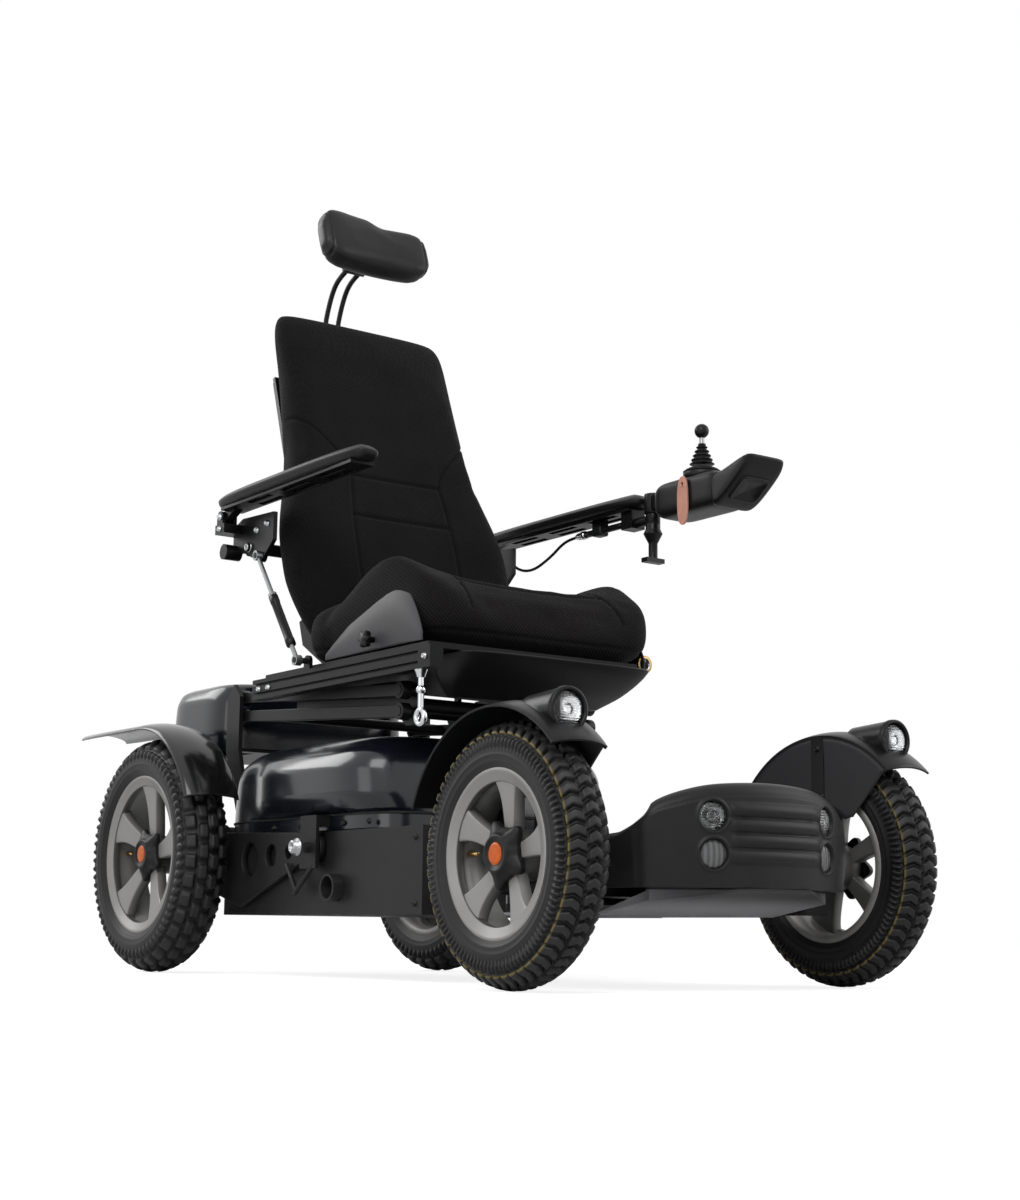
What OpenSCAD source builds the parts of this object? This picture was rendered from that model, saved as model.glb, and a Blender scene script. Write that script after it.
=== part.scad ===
// All terrain powered wheelchair with steered front wheels, sprung rear arms and a lifting, tilting seat.
// Millimetres. +X is the sitter's left, -Y the front and +Z up, with the floor at z = 0.
// Stations along Y are counted from the middle between the two axles.

/* [Stance] */
// Distance between the front and the rear axle
wheelbase = 1100; // [1080:5:1140]
// Distance between the middle planes of the left and right wheels
track = 616; // [612:1:640]
// Front axle to the front of the bumper
front_overhang = 195; // [190:1:210]
// Rear axle to the tips of the rear mudguards
rear_overhang = 262; // [255:1:290]

/* [Front wheels] */
// Outer radius of the front tyre
front_tyre_r = 180; // [176:1:184]
// Width of the front tyre
front_tyre_w = 76; // [72:1:80]
// Height of the front tyre's section, from the rim flange to the tread
front_section_h = 64.5; // [60:0.5:70]
// Width of the front rim
front_rim_w = 67; // [60:1:70]
// Tread blocks in one row of the front tyre
front_lugs = 44; // [30:1:54]

/* [Rear wheels] */
// Outer radius of the rear tyre
rear_tyre_r = 209; // [205:1:213]
// Width of the rear tyre
rear_tyre_w = 92; // [86:1:94]
// Height of the rear tyre's section, from the rim flange to the tread
rear_section_h = 68; // [63:0.5:73]
// Width of the rear rim
rear_rim_w = 76; // [70:1:80]
// Tread blocks in one row of the rear tyre
rear_lugs = 30; // [24:1:40]

/* [Rims and hubs] */
// Spokes in one rim
spoke_count = 5; // [4:1:6]
// Height of the rim flange above the bead seat
flange_h = 8; // [6:0.5:10]
// Thickness of the rim flange
flange_t = 3; // [2:0.5:4]
// Thickness of the rim barrel
barrel_t = 4; // [3:0.5:6]
// Depth of a tread block
lug_h = 7; // [4:0.5:9]
// Radius of the hub
hub_r = 34; // [30:1:38]
// Thickness of the spokes at the hub
spoke_t = 16; // [12:1:20]
// Radius of the wheel axles
axle_r = 10; // [8:0.5:12]

/* [Chassis] */
// Width of the chassis box
chassis_w = 472; // [460:1:476]
// Length of the chassis box
chassis_len = 640; // [620:5:650]
// Height of the chassis box
chassis_h = 134; // [128:1:138]
// Floor to the underside of the chassis
ground_gap = 102; // [98:1:110]
// Plate thickness of the chassis box
chassis_wall = 5; // [4:0.5:8]
// Height of the body shroud above the chassis
shroud_h = 158; // [150:1:160]
// Wall of the moulded covers
cover_wall = 4; // [3:0.5:6]

/* [Footplate and bumper] */
// Width of the footplate
footplate_w = 330; // [310:1:334]
// Height of the footplate from skid to floor
footplate_h = 52; // [50:1:56]
// Plate thickness of the footplate
footplate_t = 4; // [3:0.5:5]
// Half width of the bumper
bumper_half = 195; // [186:1:198]
// Height of the bumper moulding
bumper_h = 149; // [135:1:160]
// Plan radius of the bumper's front
bumper_r = 315; // [300:1:340]
// Wall depth of the bumper moulding
bumper_t = 26; // [22:1:28]

/* [Steering] */
// King pin to the middle plane of the wheel
king_offset = 73; // [71:0.5:76]
// Length of the steering arms
steer_arm = 100; // [92:1:104]
// Radius of the king pin
king_r = 9; // [8:0.5:10]

/* [Mudguards] */
// Gap from the tyre to the mudguard
guard_gap = 18; // [14:1:22]
// Width of the front mudguard
front_guard_w = 92; // [88:1:98]
// Width of the rear mudguard
rear_guard_w = 104; // [98:1:106]
// Skin of the mudguards
guard_t = 3; // [2.5:0.25:4]
// Radius of a headlamp pod
lamp_r = 30; // [26:1:32]

/* [Rear suspension] */
// Station of the arm pivot behind the middle of the wheelbase
arm_pivot_y = 95; // [85:1:105]
// Height of the arm pivot
arm_pivot_z = 210; // [205:1:214]
// Thickness of the trailing arm plate
arm_t = 10; // [8:1:12]
// Radius of a drive motor
motor_r = 52; // [46:1:56]

/* [Seat lift] */
// Station of the rear lift pivots
lift_y = 470; // [460:1:480]
// Height of the lower rear lift pivot
lift_z = 462; // [458:1:466]
// Length of a lift arm along the chair
lift_reach = 545; // [530:1:550]
// Drop of the front lift pivot below the rear one
lift_drop = 38; // [34:1:42]
// Height between the lower and upper lift arms
lift_gap = 34; // [33:0.5:36]
// Width of a lift arm
lift_bar_w = 18; // [14:1:20]

/* [Seat] */
// Height of the seat rails' top face
rail_z = 508; // [506:1:514]
// Height of the seat rails
rail_h = 35; // [30:1:38]
// Outer width over the seat rails
seat_w = 500; // [496:1:506]
// Width of one seat rail
rail_w = 24; // [20:1:28]
// Station of the seat's rear end
seat_rear = 320; // [315:1:330]
// Reach of the right rail ahead of the middle of the wheelbase
rail_front_right = 247; // [230:1:255]
// Reach of the left rail ahead of the middle of the wheelbase
rail_front_left = 35; // [20:1:60]
// Width of the seat cushion
cushion_w = 466; // [440:1:470]
// Reach of the cushion ahead of the middle of the wheelbase
cushion_front = 226; // [210:1:240]
// Station of the cushion's rear end
cushion_rear = 148; // [136:1:150]
// Thickness of the cushion along its middle
cushion_h = 114; // [100:1:122]
// Rise of the side bolsters above the middle
bolster_h = 90; // [70:1:94]

/* [Back] */
// Lean of the back at rest, from upright
back_angle = 18.5; // [14:0.5:20]
// Length of the back cushion
back_len = 700; // [680:1:706]
// Half width of the back cushion at its top
back_top_half = 191; // [175:1:198]
// Half width of the back cushion at its wings
back_wing_half = 243; // [225:1:244]
// Half width of the back cushion at its foot
back_foot_half = 216; // [200:1:222]
// Thickness of the back cushion
back_t = 84; // [70:1:86]
// Width of the headrest
headrest_w = 240; // [220:1:256]
// Height of the headrest
headrest_h = 104; // [90:1:110]
// Thickness of the headrest
headrest_t = 58; // [48:1:64]

/* [Arms and control] */
// Distance between the middles of the armrests
arm_span = 570; // [566:1:580]
// Length of an arm pad
arm_len = 490; // [470:1:500]
// Width of an arm pad
arm_w = 70; // [60:1:72]
// Thickness of an arm pad
arm_h = 28; // [20:1:34]
// Height of an arm pad's underside
arm_z = 819; // [817:1:826]
// Width of the controller housing
control_w = 80; // [70:1:84]
// Length of the controller housing
control_len = 170; // [160:1:180]
// Height of the controller housing
control_h = 64; // [58:1:68]
// Radius of the joystick ball
ball_r = 12.5; // [10:0.5:14]

/* [Fits] */
// Radial clearance of a running pin
run_gap = 0.05; // [0.03:0.01:0.1]
// Clearance between seated pieces
fit_gap = 0.3; // [0.2:0.05:0.5]
// Overrun of a cut past a face
over = 1; // [0.5:0.5:2]

/* [Hidden] */
$fn = 48;

overall_len = front_overhang + wheelbase + rear_overhang;
mid_y = front_overhang + wheelbase / 2 - overall_len / 2;
front_y = -wheelbase / 2;
rear_y = wheelbase / 2;
wheel_x = track / 2;

// Chassis places
chassis_shift = 105;
chassis_front = chassis_shift - chassis_len / 2;
chassis_rear = chassis_shift + chassis_len / 2;
chassis_half = chassis_w / 2;
chassis_top = ground_gap + chassis_h;

// Points of an arc about a centre, from angle a0 to a1
function arc(c, r, a0, a1, n) = [for (i = [0:n]) let (a = a0 + (a1 - a0) * i / n) c + r
  * [cos(a), sin(a)]];
// A value raised to a power with its sign kept
function spow(v, p) = sign(v) * pow(abs(v), p);
// A closed level ring of half sizes a and b, square as the power p falls
function ring(c, z, a, b, p, n) = [for (i = [0:n - 1]) let (t = 360 * i / n)
  [c[0] + a * spow(cos(t), p), c[1] + b * spow(sin(t), p), z]];
// A value that eases from 0 to 1 as t runs from 0 to 1
function ease(t) = let (s = max(0, min(1, t))) s * s * (3 - 2 * s);

// A solid through a stack of rings that each hold as many points
module loft(rings) {
  n = len(rings[0]);
  m = len(rings);
  sides = [for (j = [0:m - 2], i = [0:n - 1]) let (k = (i + 1) % n)
    each [[j * n + i, (j + 1) * n + i, (j + 1) * n + k], [j * n + i, (j + 1) * n + k, j * n + k]]];
  foot = [for (i = [1:n - 2]) [0, i, i + 1]];
  head = [for (i = [1:n - 2]) [0, i + 1, i] + [1, 1, 1] * (m - 1) * n];
  polyhedron([for (r = rings) each r], concat(sides, foot, head));
}

// A round bar between two points
module bar(from, to, r) {
  d = to - from;
  span = norm(d);
  translate(from) rotate([0, acos(d[2] / span), atan2(d[1], d[0])]) cylinder(r = r, h = span);
}

// A round pin along X, from x0 to x1 at a station and height
module pin(x0, x1, y, z, r) {
  translate([x0, y, z]) rotate([0, 90, 0]) cylinder(r = r, h = x1 - x0);
}

// A plate whose outline is drawn in Y and Z, from x0 to x1
module plate(x0, x1) {
  translate([x0, 0, 0]) rotate([90, 0, 90]) linear_extrude(x1 - x0) children();
}

// A block from one corner to the other
module block(low, high) {
  translate(low) cube(high - low);
}

module both() {
  children();
  mirror([1, 0, 0]) children();
}

module on_side(side) {
  if (side > 0) children();
  else mirror([1, 0, 0]) children();
}

// Places a wheel piece drawn about +Z, outer face up, on the left wheel's axle
module on_axle(y, r) {
  translate([wheel_x, y, r]) rotate([0, 90, 0]) children();
}

// Tyres
tread_share = 0.55;
lug_edge_share = 0.06;
tyre_steps = 18;

// Corners of one ring of tread blocks
function lug_points(n, root, top, shift) = [for (i = [0:n - 1]) let (p = 360 / n,
  a = p * (i + shift) + 180)
  each [for (q = [[-tread_share / 2 - lug_edge_share, root], [-tread_share / 2, top],
    [tread_share / 2, top], [tread_share / 2 + lug_edge_share, root]]) q[1]
      * [cos(a + q[0] * p), sin(a + q[0] * p)]]];

// A tyre: an oval carcass on the rim with rows of blocks [inner share, outer share, shift]
front_flange_r = front_tyre_r - front_section_h;
rear_flange_r = rear_tyre_r - rear_section_h;

module tyre(tyre_r, tyre_w, flange_r, rim_w, lugs, rows) {
  carcass_r = tyre_r - lug_h;
  half = tyre_w / 2;
  start_r = flange_r + fit_gap;
  bead = rim_w / 2 - flange_t - fit_gap;
  seat_r = flange_r - flange_h + fit_gap;
  turn = 180 - asin(rim_w / tyre_w);
  mid_r = (start_r - carcass_r * cos(turn)) / (1 - cos(turn));
  depth = carcass_r - mid_r;
  oval = [for (i = [0:tyre_steps]) let (a = turn * (2 * i / tyre_steps - 1)) [mid_r + depth * cos(a),
    half * sin(a)]];
  rotate_extrude() polygon(concat([[seat_r, -bead], [start_r, -bead]], oval,
    [[start_r, bead], [seat_r, bead]]));
  for (row = rows) {
    near = min(abs(row[0]), abs(row[1]));
    middle = row[0] * row[1] < 0;
    top = middle ? tyre_r : mid_r + depth * sqrt(1 - near * near) + lug_h * (1 - near);
    root = middle ? carcass_r + fit_gap : mid_r + depth * sqrt(1 - near * near) + fit_gap;
    translate([0, 0, row[0] * half]) linear_extrude((row[1] - row[0]) * half) difference() {
      polygon(lug_points(lugs, root, top, row[2]));
      circle(r = mid_r);
    }
  }
}
front_row_shares = [[-0.8, -0.58, 0], [-0.54, -0.28, 0.5], [-0.24, 0.24, 0], [0.28, 0.54, 0.5],
  [0.58, 0.8, 0]];
rear_row_shares = [[-0.84, -0.6, 0], [-0.56, -0.3, 0.5], [-0.26, 0.26, 0], [0.3, 0.56, 0.5],
  [0.6, 0.84, 0]];

module front_tyre(side) color("#1d1e20")
  on_side(side) on_axle(front_y, front_tyre_r)
    tyre(front_tyre_r, front_tyre_w, front_flange_r, front_rim_w, front_lugs, front_row_shares);
module rear_tyre(side) color("#1d1e20")
  on_side(side) on_axle(rear_y, rear_tyre_r)
    tyre(rear_tyre_r, rear_tyre_w, rear_flange_r, rear_rim_w, rear_lugs, rear_row_shares);

// Rims
hub_back_share = 0.48;
hub_face_share = 0.2;
dish_share = 0.36;
spoke_hub_share = 0.34;
spoke_rim_share = 0.19;
spoke_skew = 9;
hub_round_share = 1.12;

// A cast rim: barrel with two flanges, skewed spokes in a dish, and a bored hub
module rim(flange_r, rim_w) {
  half = rim_w / 2;
  seat_r = flange_r - flange_h;
  inner_r = seat_r - barrel_t;
  face = rim_w * hub_face_share;
  edge = rim_w * dish_share;
  back = -rim_w * hub_back_share;
  rotate_extrude() polygon([[inner_r, -half], [flange_r, -half], [flange_r, flange_t - half],
    [seat_r, flange_t - half],
    [seat_r, half - flange_t], [flange_r, half - flange_t], [flange_r, half], [inner_r, half]]);
  difference() {
    rotate_extrude() polygon([[axle_r + run_gap, back], [hub_r, back], [hub_r, face - spoke_t],
      [inner_r + barrel_t / 2, edge - spoke_t], [inner_r + barrel_t / 2, edge], [hub_r, face],
      [axle_r + run_gap, face]]);
    translate([0, 0, face - spoke_t - rim_w]) linear_extrude(2 * rim_w) difference() {
      circle(r = inner_r - barrel_t / 2);
      circle(r = hub_r * hub_round_share);
      for (i = [0:spoke_count - 1]) rotate(360 / spoke_count * i) polygon([
        [0, -hub_r * spoke_hub_share], [0, hub_r * spoke_hub_share],
        inner_r * [cos(spoke_skew), sin(spoke_skew)] + [0, inner_r * spoke_rim_share],
        inner_r * [cos(spoke_skew), sin(spoke_skew)] - [0, inner_r * spoke_rim_share]]);
    }
  }
}
module front_rim(side) color("#8f8d8b")
  on_side(side) on_axle(front_y, front_tyre_r) rim(front_flange_r, front_rim_w);
module rear_rim(side) color("#8f8d8b")
  on_side(side) on_axle(rear_y, rear_tyre_r) rim(rear_flange_r, rear_rim_w);

// Hub caps
cap_h = 20;
cap_r_share = 0.8;
cap_top_share = 0.62;
fin_w = 14;
fin_reach_share = 0.98;
fin_h_share = 0.55;
dimple_share = 0.1;

// A stepped cap with a fin toward each window and a round seat for its reflector
module hubcap(rim_w) {
  translate([0, 0, rim_w * hub_face_share + fit_gap / 3]) difference() {
    union() {
      cylinder(r1 = hub_r * cap_r_share, r2 = hub_r * cap_top_share, h = cap_h);
      intersection() {
        cylinder(r = hub_r * fin_reach_share, h = cap_h * fin_h_share);
        for (i = [0:spoke_count - 1]) rotate(360 / spoke_count * (i + 1 / 2))
          translate([0, -fin_w / 2, 0]) cube([hub_r * fin_reach_share, fin_w, cap_h * fin_h_share]);
      }
    }
    translate([0, 0, cap_h * (1 - dimple_share)])
      cylinder(r = hub_r * cap_top_share * (1 - dimple_share), h = cap_h);
  }
}
module front_hubcap(side) color("#26272a") on_side(side) on_axle(front_y,
  front_tyre_r) hubcap(front_rim_w);
module rear_hubcap(side) color("#26272a") on_side(side) on_axle(rear_y, rear_tyre_r) hubcap(rear_rim_w);

// Chassis
pivot_r = 9;
pivot_boss_r = 22;
arm_gap = 3;
arm_x = chassis_half + arm_gap;
clamp_t = 6;
clamp_w = 52;
clamp_drop = 34;
loop_r = 4;
loop_w = 44;
loop_len = 58;
socket_r = 22;
socket_wall = 4;
socket_len = 20;
socket_back = 60;
socket_up_share = 0.32;
lip_r = 8;

// Hangs the loop handle under the pivot clamp of the left side
module loop_handle() {
  x = arm_x + arm_t + arm_gap + clamp_t / 2;
  top = [x, arm_pivot_y - clamp_w / 4, arm_pivot_z - clamp_drop + loop_r];
  foot = top + [0, loop_len, -loop_w];
  bar(top, foot, loop_r);
  bar(foot + [0, -loop_len / 8, loop_r / 2], foot + [0, loop_len / 2, loop_w + loop_r], loop_r);
}

module chassis_frame() color("#2b2c2e") {
  difference() {
    block([-chassis_half, chassis_front, ground_gap], [chassis_half, chassis_rear, chassis_top]);
    block([-chassis_half, chassis_front, ground_gap] + [1, 1, 1] * chassis_wall,
      [chassis_half - chassis_wall, chassis_rear - chassis_wall, chassis_top + over]);
  }
  both() {
    // Pivot of the trailing arm and the clamp outside it
    pin(chassis_half - chassis_wall / 2, arm_x + arm_t + arm_gap + clamp_t + pivot_r, arm_pivot_y,
      arm_pivot_z, pivot_r);
    plate(arm_x + arm_t + arm_gap, arm_x + arm_t + arm_gap + clamp_t)
      translate([arm_pivot_y - clamp_w / 2, arm_pivot_z - clamp_drop]) square([clamp_w,
        clamp_w + clamp_drop]);
    plate(chassis_half - chassis_wall, arm_x + arm_t + arm_gap + clamp_t)
      translate([arm_pivot_y - clamp_w / 2, arm_pivot_z + clamp_w - clamp_drop / 2])
        square([clamp_w, clamp_drop / 2]);
    loop_handle();
    // Open jacking tube low on the side
    difference() {
      pin(chassis_half - chassis_wall / 2, chassis_half + socket_len, arm_pivot_y - socket_back,
        ground_gap + chassis_h * socket_up_share, socket_r);
      pin(chassis_half, chassis_half + socket_len + over, arm_pivot_y - socket_back,
        ground_gap + chassis_h * socket_up_share, socket_r - socket_wall);
    }
  }
}

// Batteries
battery_size = [165, 255, 196];
battery_gap = 12;
battery_front = 142;

module battery_pair() color("#3a3d44") both()
  translate([battery_gap / 2, chassis_front + battery_front,
    ground_gap + chassis_wall]) cube(battery_size);

// Body shroud
shroud_side = 6;
shroud_ahead = 120;
shroud_behind = 57;
shroud_swell = 30;
swell_y = 100;
swell_len = 196;
shroud_fn = 44;
shroud_clear = 2;
tower_base = 34;
tower_t = 8;
tower_x = 200;
shroud_half = (chassis_len - shroud_ahead + shroud_behind) / 2;
shroud_y = chassis_front + shroud_ahead + shroud_half;
// Rows of height share, side draw share, end draw share and swell share
shroud_row_shares = [[0, 0, 0, 0], [0.17, 0, 0, 0], [0.24, 0, 0.01, 0.55], [0.38, 0, 0.02, 1],
  [0.6, 0, 0.04, 1],
  [0.76, 0.02, 0.07, 0.82], [0.9, 0.1, 0.14, 0.4], [0.97, 0.2, 0.22, 0.12], [1, 0.32, 0.32, 0]];

// Rings of the cover, drawn in by inset; the sides swell between the front and rear wheels
function cover_rings(inset) = [for (q = shroud_row_shares)
  [for (p = ring([0, 0], chassis_top + fit_gap + q[0] * (shroud_h - inset),
    (chassis_half - shroud_side) * (1 - q[1]) - inset, shroud_half * (1 - q[2]) - inset, 0.32, shroud_fn))
    let (near = exp(-pow((p[1] + shroud_y - swell_y) / swell_len, 6)))
    p + [sign(p[0]) * shroud_swell * q[3] * near * min(1, 3 * abs(p[0]) / chassis_half), shroud_y, 0]]];

module body_shroud() color("#14171c") difference() {
  loft(cover_rings(0));
  translate([0, 0, -over]) loft(cover_rings(cover_wall));
  // Open slots for the plates of the lift tower
  both() block([tower_x - shroud_clear, chassis_rear - tower_base - shroud_clear, chassis_top - over],
    [tower_x + tower_t + shroud_clear, chassis_rear + chassis_half, chassis_top + shroud_h + over]);
}

// Lift tower
tower_base_h = 6;
lift_pin_r = 9;
lift_arm_x = 178;
shelf_z = 398;
shelf_t = 5;
shelf_len = 250;
shelf_half = 150;
tower_pad = 24;

module lift_tower() color("#232427") {
  block([-tower_x - tower_t, chassis_rear - tower_base, chassis_top],
    [tower_x + tower_t, chassis_rear, chassis_top + tower_base_h]);
  both() {
    plate(tower_x, tower_x + tower_t) polygon([[chassis_rear - tower_base, chassis_top],
      [chassis_rear, chassis_top], [lift_y + tower_pad, shelf_z], [lift_y + tower_pad, lift_z + lift_gap],
      [lift_y, lift_z + lift_gap + tower_pad], [lift_y - tower_pad, lift_z + lift_gap],
      [lift_y - tower_pad, shelf_z]]);
    for (up = [0, lift_gap]) pin(lift_arm_x - over, tower_x + tower_t / 2, lift_y, lift_z + up,
      lift_pin_r);
  }
  block([-tower_x - tower_t, lift_y, shelf_z], [tower_x + tower_t, lift_y + tower_pad,
    shelf_z + shelf_t]);
  block([-shelf_half, lift_y, shelf_z], [shelf_half, lift_y + shelf_len, shelf_z + shelf_t]);
}

// Rear shroud
rear_hump_front = 502;
rear_hump_rear = 772;
rear_hump_half = 206;
rear_hump_top = 534;
hump_fn = 36;

// Rings of the rear cover, drawn in by inset
function hump_rings(inset) = let (c = [0, (rear_hump_front + rear_hump_rear) / 2],
  deep = (rear_hump_rear - rear_hump_front) / 2, low = shelf_z + shelf_t + fit_gap)
  [for (q = [[0, 0.02], [0.35, 0], [0.72, 0.01], [0.9, 0.05], [0.97, 0.11], [1, 0.2]])
    ring(c, low + q[0] * (rear_hump_top - low - inset), (rear_hump_half - inset) * (1 - q[1]),
      (deep - inset) * (1 - q[1]), 0.42, hump_fn)];

module rear_shroud() color("#14171c") difference() {
  loft(hump_rings(0));
  translate([0, 0, -over]) loft(hump_rings(cover_wall));
}

// Footplate
bumper_z = 138;
floor_z = ground_gap + footplate_h;
skid_z = ground_gap;
skid_break = front_y;
toe_y = front_y - front_overhang + bumper_t * 1.6;
lip_y = front_y - front_overhang + lip_r;
lip_top = bumper_z - fit_gap / 3;
lip_half_share = 0.36;
lip_taper = 78;
foot_rear_gap = 0.2;

module footplate() color("#2a2b2d") intersection() {
  rear = chassis_front - foot_rear_gap;
  half = footplate_w / 2;
  plate(-half, half) difference() {
    polygon([[rear, skid_z], [skid_break, skid_z], [lip_y, lip_top - footplate_t], [lip_y, lip_top],
      [toe_y, lip_top],
      [toe_y + footplate_h, floor_z], [rear, floor_z]]);
    polygon([[rear - footplate_t, skid_z + footplate_t], [skid_break, skid_z + footplate_t],
      [toe_y + footplate_h, bumper_z - footplate_t], [toe_y + footplate_h, floor_z - footplate_t],
      [rear - footplate_t, floor_z - footplate_t]]);
  }
  translate([0, 0, skid_z - over]) linear_extrude(footplate_h + 2 * over) polygon([[-half, rear + over],
    [half, rear + over], [half, lip_y + lip_taper], [half * lip_half_share, lip_y],
      [-half * lip_half_share, lip_y],
    [-half, lip_y + lip_taper]]);
}

// Front bumper
rib_out = 4;
bumper_corner = 34;
bumper_y = front_y - front_overhang + rib_out;
bumper_c = bumper_y + bumper_r;
bumper_rear = front_y - 50;
bumper_wall = 6;
bumper_cap = 26;
// Rows of start height share, end height share and inset share of the rolled top
cap_row_shares = [[0, 0.4, 0], [0.4, 0.68, 0.09], [0.68, 0.88, 0.2], [0.88, 1, 0.34]];
// Fall of the top edge, as shares of the run from rear to front and of the height
fall_shares = [[0, 0.49], [0.14, 0.5], [0.29, 0.54], [0.4, 0.58], [0.52, 0.645], [0.58, 0.71],
  [0.63, 0.78],
  [0.69, 0.826], [0.745, 0.86], [0.816, 0.906], [0.894, 0.933], [0.957, 0.953]];
bumper_lamp_x = 105;
bumper_lamp_r = 19;
lamp_cup = 4;
lamp_up_shares = [0.64, 0.3];
lamp_sink = 8;
rib_count = 4;
rib_h = 14;
rib_turn = 16;
rib_up_shares = [0.28, 0.7];
rib_row_shares = [[1, 0.55], [0.55, 1]];
arc_steps = 20;
corner_steps = 6;
corner_x = bumper_half - bumper_corner;
corner_y = bumper_c - sqrt(pow(bumper_r - bumper_corner, 2) - pow(corner_x, 2));
corner_turn = atan2(corner_y - bumper_c, corner_x);

// Plan line of the bumper from its right end to its left one, drawn in by inset
function bumper_line(inset) = concat([[inset - bumper_half, bumper_rear]],
  arc([-corner_x, corner_y], bumper_corner - inset, 180, 180 - corner_turn, corner_steps),
  arc([0, bumper_c], bumper_r - inset, 180 - corner_turn, 360 + corner_turn, arc_steps),
  arc([corner_x, corner_y], bumper_corner - inset, corner_turn, 0, corner_steps),
  [[bumper_half - inset, bumper_rear]]);
// The plan line from its last point back to its first
function back_line(inset) = let (p = bumper_line(inset)) [for (i = [len(p) - 1:-1:0]) p[i]];

// A band of the bumper between two insets and two heights
module bumper_band(z0, z1, out, inn) {
  translate([0, 0, z0]) linear_extrude(z1 - z0) polygon(concat(bumper_line(out), back_line(inn)));
}

// Face turn of a bumper lamp about the bumper's plan centre
lamp_turn = asin(bumper_lamp_x / bumper_r);
module at_lamps() {
  for (side = [-1, 1], up = lamp_up_shares) translate([0, bumper_c, bumper_z + up * bumper_h])
    rotate([0, 0, side * lamp_turn]) translate([0, -bumper_r, 0]) rotate([90, 0, 0]) children();
}

module front_bumper() color("#232426") {
  cap_z = bumper_z + bumper_h - bumper_cap;
  difference() {
    union() {
      bumper_band(bumper_z, cap_z + over, 0, bumper_wall);
      for (q = cap_row_shares) bumper_band(cap_z + q[0] * bumper_cap, cap_z + q[1] * bumper_cap,
        q[2] * bumper_t, bumper_t * (1 - q[2]));
      at_lamps() translate([0, 0, -lamp_sink - lamp_cup])
        cylinder(r = bumper_lamp_r + lamp_cup, h = lamp_sink + lamp_cup);
      for (i = [0:rib_count - 1], q = rib_row_shares) {
        z = bumper_z + bumper_h * (rib_up_shares[0]
          + (rib_up_shares[1] - rib_up_shares[0]) * i / (rib_count - 1));
        translate([0, 0, z - rib_h * q[0] / 2]) linear_extrude(rib_h * q[0]) polygon(concat(
          arc([0, bumper_c], bumper_r + rib_out * q[1], 270 - rib_turn, 270 + rib_turn, arc_steps / 2),
          arc([0, bumper_c], bumper_r - bumper_wall / 2, 270 + rib_turn, 270 - rib_turn, arc_steps / 2)));
      }
    }
    // The top edge falls away to the rear
    plate(-bumper_half - over, bumper_half + over) polygon(concat(
      [[bumper_rear + over, bumper_z + bumper_h + over],
        [bumper_rear + over, bumper_z + bumper_h * fall_shares[0][1]]],
      [for (q = fall_shares) [bumper_rear + q[0] * (bumper_y - bumper_rear), bumper_z + bumper_h * q[1]]],
      [[bumper_rear + fall_shares[11][0] * (bumper_y - bumper_rear), bumper_z + bumper_h + over]]));
    at_lamps() translate([0, 0, -lamp_sink]) cylinder(r = bumper_lamp_r + fit_gap, h = bumper_t);
  }
}

module bumper_lamps() color("#b9bdc2") at_lamps() translate([0, 0, -lamp_sink]) {
  cylinder(r = bumper_lamp_r, h = lamp_sink / 2);
  translate([0, 0, lamp_sink / 2]) cylinder(r1 = bumper_lamp_r, r2 = bumper_lamp_r - lamp_sink / 2,
    h = lamp_sink / 2);
}

// Front axle
king_x = wheel_x - king_offset;
beam_w = 44;
beam_top = floor_z - footplate_t - fit_gap;
beam_h = 22;
beam_rail_x = 120;
beam_rail_w = 30;
beam_rail_h = 14;
boss_r = 16;
boss_top = 190;
lug_t = 16;
arm_plate_t = 10;
arm_low = ground_gap + footplate_t;

module front_axle_beam() color("#2b2c2e") difference() {
  union() {
    block([-king_x, front_y - beam_w / 2, beam_top - beam_h], [king_x, front_y + beam_w / 2, beam_top]);
    both() {
      translate([king_x, front_y, beam_top - beam_h]) cylinder(r = boss_r,
        h = boss_top - beam_top + beam_h);
      block([beam_rail_x - beam_rail_w / 2, front_y, beam_top - beam_rail_h],
        [beam_rail_x + beam_rail_w / 2, chassis_front - foot_rear_gap - footplate_t - fit_gap, beam_top]);
    }
  }
  both() {
    translate([king_x, front_y, beam_top - beam_h - over])
      cylinder(r = king_r + run_gap, h = boss_top - beam_top + beam_h + 2 * over);
    difference() {
      block([king_x, front_y - beam_w, beam_top - beam_h - over],
        [king_x + beam_w, front_y + beam_w, beam_top + over]);
      translate([king_x, front_y, beam_top - beam_h - over]) cylinder(r = boss_r, h = beam_h + 2 * over);
    }
  }
}

// Steering motor over the right king pin
motor_plate_t = 7;
lug_w = 36;
gear_size = [40, 40, 42];
steer_motor_r = 24;
steer_motor_h = 62;
king_top = boss_top + fit_gap + lug_t + arm_plate_t;

module steering_motor() color("#3c3e42") on_side(-1) {
  gear_z = boss_top + lug_t + 4 * fit_gap;
  difference() {
    union() {
      block([king_x - lug_w / 2 - motor_plate_t - 2 * fit_gap, front_y - gear_size[1] / 2, beam_top],
        [king_x - lug_w / 2 - 2 * fit_gap, front_y + gear_size[1] / 2, gear_z + gear_size[2]]);
      translate([king_x - gear_size[0] / 2 - motor_plate_t, front_y - gear_size[1] / 2, gear_z])
        cube(gear_size + [motor_plate_t, 0, 0]);
      translate([king_x, front_y, gear_z + gear_size[2]]) cylinder(r = steer_motor_r, h = steer_motor_h);
    }
    translate([king_x, front_y, gear_z - over]) cylinder(r = king_r + run_gap,
      h = king_top - gear_z + 2 * over);
  }
}

// Steering knuckles
web_t = 8;
web_x = king_x + boss_r + fit_gap + arm_gap;
arm_end_r = 12;
ball_pin_r = 5;
stub_shoulder_r = 16;
rod_r = 6;
rod_eye_h = 12;

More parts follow.
